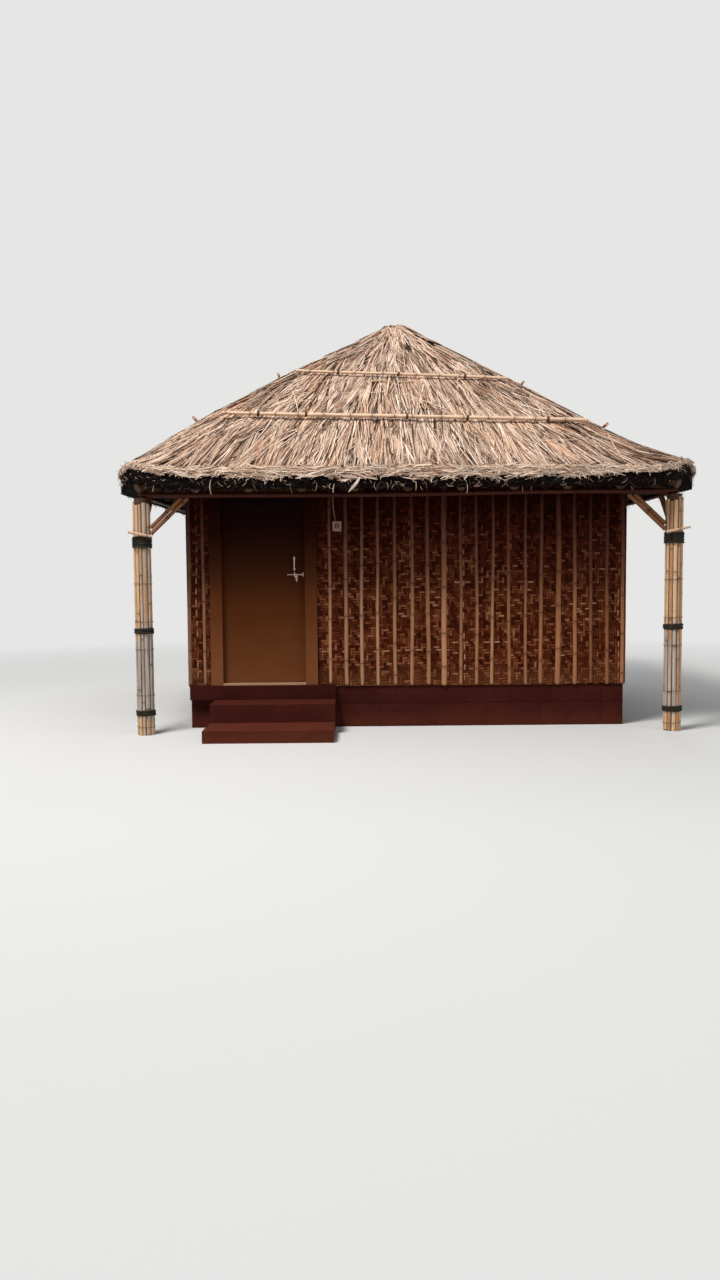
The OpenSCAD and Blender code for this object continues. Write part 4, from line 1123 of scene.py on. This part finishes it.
def woven_panel(parts, s0, s1, z0, z1, phase, pale_ups, pale_levels, keep=None, fine=True):
    """Floats of a two-over, two-under weave on a stretch of wall, s along it and z up, as on the front."""
    counts = int((s1 - s0) / STRIP) + 4, int((z1 - z0) / STRIP) + 4
    t, rises = (np.array(row) for row in (FLOAT_FINE if fine else FLOAT_PLAIN))
    c = np.linspace(-1, 1, 3 if fine else 2)
    for upright in (True, False):
        strips, reach = counts if upright else counts[::-1]
        turns = reach // 4 + strips // 4 + 3
        strip, turn = (g.ravel() for g in np.meshgrid(np.arange(strips), np.arange(turns), indexing="ij"))
        centre = 4 * turn - (strip + phase) % 4 + (1 if upright else 3)
        inside = (centre > -2) & (centre < reach + 2)
        strip, centre = strip[inside], centre[inside]
        strip_tone = rng.random(strips)[strip]
        wide = rng.uniform(*STRIP_SHARE, strips)[strip]
        n = len(strip)
        middle_s, middle_z = (strip + 0.5) * STRIP, centre * STRIP
        if not upright:
            middle_s, middle_z = middle_z, middle_s
        middle_s, middle_z = s0 + middle_s, z0 + middle_z
        pale = np.zeros(n)
        if upright:
            for place in pale_ups:
                pale = np.where(strip == int((place - s0) / STRIP), 0.8 * (rng.random(n) < 0.8), pale)
        else:
            for level, share, first, last in pale_levels:
                hit = (strip == int((level - z0) / STRIP)) & (middle_s > first) & (middle_s < last)
                pale = np.where(hit, 0.8 * (rng.random(n) < share), pale)
        wide = np.where(pale > 0.5, PALE_STRIP_SHARE, wide)[:, None, None]
        stretch = rng.uniform(0.93, 1.0, n)[:, None, None]
        along = (centre[:, None, None] + t[None, :, None] * stretch) * STRIP
        cross = (strip[:, None, None] + 0.5 + c[None, None] * 0.5 * wide) * STRIP
        s, z = (s0 + cross, z0 + along) if upright else (s0 + along, z0 + cross)
        s = s + 0.007 * np.sin(z * 2.3 + phase) + 0.004 * np.sin(z * 7.1 + s0 * 5)
        z = z + 0.008 * np.sin(s * 1.9 + phase * 2) + 0.004 * np.sin(s * 6.3 + 1)
        s, z = np.clip(s, s0, s1), np.clip(z, z0, z1)
        arch = rises[None, :, None] * rng.uniform(0.7, 1.15, n)[:, None, None]
        rise = (arch + (0.35 - 0.7 * np.abs(c))[None, None]) / 1000
        tone = 0.24 * strip_tone + 0.34 * rng.random(n) + rng.normal(0.16, 0.05, n)
        if not upright:
            tone = tone + 0.06
        pale = np.where(rng.random(n) < 0.02, 0.25, pale)
        good = np.ptp(s, axis=(1, 2)) > SMALLEST_FLOAT
        good &= np.ptp(z, axis=(1, 2)) > SMALLEST_FLOAT
        if keep is not None:
            good &= keep(middle_s, middle_z)
        s, z, rise, tone, pale = s[good], z[good], rise[good], tone[good], pale[good]
        each = len(t) * len(c)
        faces = grid_faces(len(t), len(c))
        faces = many_faces(faces if upright else faces[:, ::-1], len(tone), each)
        uv = np.stack([s, z] if upright else [z, s], -1).reshape(-1, 2)
        parts.add(xyz(s, -(MAT_FACE + rise), z).reshape(-1, 3), faces, uv,
                  tone=np.repeat(np.clip(tone, 0, 1), each), pale=np.repeat(pale, each))


def woven_walls():
    """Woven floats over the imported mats, which stay behind them as the dark ground of the weave."""
    landing_right, landing_top = (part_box("door_landing")[1][k] for k in (0, 2))
    bottom, top = (corner[2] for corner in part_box("left_wall"))
    left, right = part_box("front_wall_left"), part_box("front_wall_right")
    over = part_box("front_wall_over_door")

    def clear_of_landing(s, z):
        return (z > landing_top) | (s > landing_right)
    front = Parts()
    joints = (right[0][0], *FRONT_JOINTS, right[1][0])
    for i in range(3):
        woven_panel(front, joints[i], joints[i + 1], bottom, top, i, PALE_UPS[i], PALE_LEVELS[i],
                    keep=clear_of_landing)
    woven_panel(front, left[0][0], left[1][0], landing_top, top, 2, [-2.27], [(0.9, 0.3, -3, 0)])
    woven_panel(front, over[0][0], over[1][0], over[0][2], top, 1, [], [])
    front.build("mat_weave_front", MAT, "bamboo_mat")
    for side in (1, 2, 3):
        parts = Parts()
        joints = (-MAT_FACE, *SIDE_JOINTS, MAT_FACE)
        for i in range(3):
            level = rng.uniform(0.7, 1.5)
            pale_up = rng.uniform(joints[i] + 0.2, joints[i + 1] - 0.2)
            woven_panel(parts, joints[i], joints[i + 1], bottom, top, i + side, [pale_up],
                        [(level, 0.7, -3, 3)], fine=False)
        m = turned(side)
        parts.verts = [v @ m.T for v in parts.verts]
        parts.build("mat_weave_" + SIDES[side], MAT, "bamboo_mat")


# Battens, posts and poles

BATTEN_HALF = 0.0245
# How much paler than the rest the front battens are made, from the door to the right corner
BATTEN_TONE_X, BATTEN_TONE_SHIFT = (-1.1, -1.0, 0.0, 1.7), (0.0, 0.50, 0.45, -0.28)


def batten_row(node, name, side):
    """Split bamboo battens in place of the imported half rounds, wide at the front mat's joints."""
    parts = Parts()
    m = turned(side)
    boxes = [(g.min(0), g.max(0)) for g in (points @ m for points in solids_of(node))]
    for low, high in sorted(boxes, key=lambda b: b[0][0]):
        x = (low[0] + high[0]) / 2
        wide = min(abs(x - place) for place in FRONT_JOINTS) < 0.09
        half = BATTEN_HALF * (1.25 if wide else rng.uniform(0.72, 1.04))
        bottom = low[2] + (0.001 if low[2] > PLINTH_TOP - 0.001 else rng.uniform(-0.003, 0.014))
        z = np.linspace(bottom, high[2], 12)
        sway = x + rng.normal(0, 0.004) + 0.005 * np.sin(z * 1.7 + rng.uniform(0, 6))
        points = xyz(sway + 0.002 * np.sin(z * 6.1 + x * 9), -(MAT_FACE + 0.001), z) @ m.T
        warm = np.clip(0.45 + 0.25 * x * (side == 0) + rng.normal(0, 0.22), 0, 1)
        lift = np.interp(x, BATTEN_TONE_X, BATTEN_TONE_SHIFT) if side == 0 else 0.0
        culm(parts, points, half, 0.44, 7, rng.uniform(0.0, 0.14), 0.003, arc=(-90, 90), flatten=0.74,
             facing=m @ (0.0, -1.0, 0.0), warm=warm, round_end=True, lift=lift)
    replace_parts(parts.build(name, BATTEN, "split_bamboo"), node)


# Post cladding. A tie has its level, height and turns.
SLAT_COUNT, SLAT_RING, SLAT_THICK = 12, 0.0765, 0.0145
TIE_RING, TIES = 0.0975, ((0.232, 0.055, 6), (1.093, 0.055, 6), (2.017, 0.115, 11))
WIRE_RING, WIRES, WIRE_R = 0.0945, (0.085, 0.42, 0.90, 1.19, 1.585), 0.0020
STICK_LEVEL, STICK_R = 2.098, 0.019


def post_slats(parts, px, py, top):
    """Split strips of uneven width stood round a post."""
    shares = rng.uniform(0.62, 1.35, SLAT_COUNT)
    edges = np.concatenate([[0], np.cumsum(shares / shares.sum())]) * TURN + rng.uniform(0, 0.5)
    for a0, a1 in zip(edges[:-1], edges[1:]):
        a, half = (a0 + a1) / 2, (a1 - a0) / 2
        out = (math.cos(a), math.sin(a), 0.0)
        z = np.linspace(rng.uniform(0.0, 0.012), top - rng.uniform(0, 0.05), 10)
        offset = SLAT_RING * math.cos(half) + rng.uniform(0.001, 0.004)
        chord = SLAT_RING * math.sin(half) * 0.97
        culm(parts, xyz(px + out[0] * offset, py + out[1] * offset, z), chord, 0.75, 7, 0.02, 0.0015,
             arc=(-85, 85), flatten=min(0.9, SLAT_THICK / chord), facing=out, warm=rng.uniform(0.18, 1.0))


def post_ties(parts, px, py, sx):
    """Wound cords and thin wires round a post's slats."""
    for level, height, turns in TIES:
        a = np.linspace(0, TURN * turns, 20 * turns)
        r = TIE_RING + 0.0035 * np.sin(a * 0.37 + level * 9) + 0.0015 * np.sin(a * 5.3)
        z = level + (a / a[-1] - 0.5) * height + 0.003 * np.sin(a * 0.9)
        tube(parts, xyz(px + r * np.cos(a), py + r * np.sin(a), z), height / turns * 0.60)
    for level in WIRES:
        a = np.linspace(0, TURN * 1.15, 34)
        z = level + 0.004 * np.sin(a + sx) + a * 0.0006
        tube(parts, xyz(px + WIRE_RING * np.cos(a), py + WIRE_RING * np.sin(a), z), WIRE_R)


def post_cladding():
    slats, ties, sticks = Parts(), Parts(), Parts()
    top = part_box("post_slats")[1][2]
    for sx in (-1, 1):
        for sy in (-1, 1):
            px, py = sx * POST_HALF, sy * POST_HALF
            post_slats(slats, px, py, top)
            post_ties(ties, px, py, sx)
            x = np.linspace(px - 0.115, px + 0.13, 6)
            points = xyz(x, py + sy * 0.116, STICK_LEVEL + (x - px) * 0.20 * sx)
            culm(sticks, points, STICK_R, 0.2, 10, 0.25, 0.001, flatten=0.8, tone=0.45)
    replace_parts(slats.build("post_strips", SLAT, "post_slat"), "post_slats")
    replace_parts(ties.build("post_cords", TIE, "tie_cord"), "post_ties")
    sticks.build("post_sticks", ROOF_BAMBOO, "roof_bamboo")


def eave_pole_set():
    poles = Parts()
    for a, b, radius in rod_ends("eave_poles"):
        run = unit(b - a)
        t = np.linspace(0, 1, 24)
        points = a - run * 0.02 + (b - a + run * 0.04) * t[:, None]
        points[:, 2] += 0.008 * np.sin(t * np.pi * 2.2)
        culm(poles, points, radius, 0.36, 14, 0.04, 0.003, warm=0.7)
    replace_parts(poles.build("eave_culms", SHADED_EAVE_BAMBOO, "eave_bamboo"), "eave_poles")


def brace_set():
    parts = Parts()
    for a, b, radius in rod_ends("knee_braces"):
        points = a + (b - a) * np.linspace(0, 1, 8)[:, None]
        culm(parts, points, radius, 0.27, 10, 0.05, 0.0015, tone=rng.uniform(0.6, 1.0), warm=1.0)
    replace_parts(parts.build("brace_culms", LIT_BRACE_BAMBOO, "eave_bamboo"), "knee_braces")


# Plinth and switch box

def rounded_block(parts, low, high, edge, seed=0):
    """A masonry block with worn edges: a box whose six faces are grids pulled in at the rim."""
    low, high = np.array(low, float), np.array(high, float)
    size = high - low
    tone = np.random.default_rng(seed).random()

    def pull(t, whole):
        c = np.clip(edge - np.minimum(t, whole - t), 0, edge)
        return edge - np.sqrt(np.maximum(edge ** 2 - c ** 2, 0))

    def stations(whole):
        count = max(3, min(5, int(whole / 0.12) + 2))
        inner = np.linspace(edge, whole - edge, count)[1:-1]
        return np.concatenate([[0, edge * 0.3, edge], inner, [whole - edge, whole - edge * 0.3, whole]])
    for axis in range(3):
        u, v = [k for k in range(3) if k != axis]
        gu, gv = np.meshgrid(stations(size[u]), stations(size[v]), indexing="ij")
        depth = np.maximum(pull(gu, size[u]), pull(gv, size[v])) * 0.999
        for sign in (0, 1):
            verts = np.zeros((*gu.shape, 3))
            verts[..., u], verts[..., v] = low[u] + gu, low[v] + gv
            verts[..., axis] = low[axis] + depth if sign == 0 else high[axis] - depth
            faces = grid_faces(*gu.shape)
            if (sign == 0) ^ (axis == 1):
                faces = faces[:, ::-1]
            parts.add(verts.reshape(-1, 3), faces, np.stack([gu.ravel(), gv.ravel()], 1), tone=tone)


COURSES, RIM, JOINT = ((0.0, 0.246), (0.247, PLINTH_TOP)), 0.23, 0.0006
BLOCK_LENGTHS, SHORTEST_LAST = (0.44, 0.62), 0.75
CORE_INSET, CORE_DROP = 0.003, 0.052


def plinth_blocks():
    """Two painted block courses round a filled core, with the top course's blocks forming the rim."""
    half = PLINTH_HALF
    blocks, core = Parts(), Parts()
    seed = 5
    for course, (z0, z1) in enumerate(COURSES):
        for side in range(4):
            m = turned(side)
            joints = [-half]
            r = np.random.default_rng(100 + side * 7 + course)
            while joints[-1] < half - RIM - SHORTEST_LAST:
                joints.append(joints[-1] + r.uniform(*BLOCK_LENGTHS))
            joints.append(half - RIM)
            for x0, x1 in zip(joints[:-1], joints[1:]):
                seed += 1
                a = np.array([x0 + JOINT, -half, z0]) @ m.T
                b = np.array([x1 - JOINT, -half + RIM, z1]) @ m.T
                rounded_block(blocks, np.minimum(a, b), np.maximum(a, b), 0.006 + 0.003 * r.random(), seed)
    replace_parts(blocks.build("plinth_blocks", PLINTH, "plinth_paint"), "plinth")
    reach = half - CORE_INSET
    rounded_block(core, (-reach, -reach, 0.0), (reach, reach, PLINTH_TOP - CORE_DROP), 0.003)
    core.build("plinth_core", PLINTH, "plinth_paint")


ROCKER_APART, ROCKER_HALF_W, ROCKER_HALF_H, ROCKER_PROUD = 0.014, 0.0095, 0.023, 0.0012


def box_rockers():
    """The two dark rocker switches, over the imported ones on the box's face."""
    low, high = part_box("switch_box")
    middle_x, middle_z = (low[0] + high[0]) / 2, (low[2] + high[2]) / 2 + 0.006
    parts = Parts()
    for side in (-1, 1):
        x = middle_x + side * ROCKER_APART
        rounded_block(parts, (x - ROCKER_HALF_W, low[1] - ROCKER_PROUD, middle_z - ROCKER_HALF_H),
                      (x + ROCKER_HALF_W, low[1] + 0.004, middle_z + ROCKER_HALF_H), 0.0012)
    parts.build("box_rockers", ROCKER, "box_plastic")


def soften(node, width, segments=3):
    """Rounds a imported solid's sharp edges for the looks; its mesh stays as packed."""
    bevel = nodes[node].modifiers.new("worn_edges", "BEVEL")
    bevel.width = width
    bevel.segments = segments
    bevel.limit_method = "ANGLE"
    bevel.angle_limit = math.radians(40)


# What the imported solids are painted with, and how far their edges are worn

PAINTED = (
    (MAT_BACK, "front_wall_left front_wall_right front_wall_over_door right_wall back_wall left_wall"),
    (POLE, "front_wall_posts right_wall_posts back_wall_posts left_wall_posts wall_plates hip_rafters"),
    (POLE, "roof_frame_front roof_frame_right roof_frame_back roof_frame_left"),
    (POLE, "binding_poles eave_poles knee_braces post_slats front_battens_left front_battens_right"),
    (POLE, "right_battens back_battens left_battens"),
    (LOG, "post_front_left post_front_right post_back_left post_back_right"),
    (BACKING, "thatch_front thatch_right thatch_back thatch_left peak_tuft"),
    (PLINTH, "plinth door_landing"),
    (STEP_UP, "upper_step"),
    (STEP, "lower_step"),
    (SCREED, "floor"),
    (LEAF, "door_leaf"),
    (FRAME_WOOD, "door_jamb_left door_jamb_right"),
    (HEAD_WOOD, "door_head"),
    (SILL, "door_threshold"),
    (HINGE, "frame_hinges leaf_hinges"),
    (STEEL, "pull_handle bolt_staples slide_bolt"),
    (BOX, "switch_box"),
    (LEAD, "box_lead"),
    (TIE, "post_ties"),
)
WORN = {
    "door_landing": 0.010, "upper_step": 0.012, "lower_step": 0.014, "door_leaf": 0.003,
    "door_jamb_left": 0.004, "door_jamb_right": 0.003, "door_head": 0.004, "door_threshold": 0.004,
    "switch_box": 0.004, "bolt_staples": 0.001, "slide_bolt": 0.0006,
}

make_camera()
make_studio()
for mat, names in PAINTED:
    for name in names.split():
        nodes[name].data.materials.clear()
        nodes[name].data.materials.append(mat)

for side in range(4):
    thatch_backing(side)
    thatch_strands(side)
loose_strands()
for name, ranges in FRINGES.items():
    fringe(name, **ranges)
hanging_leaf()
peak_tuft()
binding_poles()
eave_sticks()
woven_walls()
batten_row("front_battens_left", "battens_front_left", 0)
batten_row("front_battens_right", "battens_front_right", 0)
batten_row("right_battens", "battens_right", 1)
batten_row("back_battens", "battens_back", 2)
batten_row("left_battens", "battens_left", 3)
post_cladding()
eave_pole_set()
brace_set()
plinth_blocks()
box_rockers()
for name, width in WORN.items():
    soften(name, width)
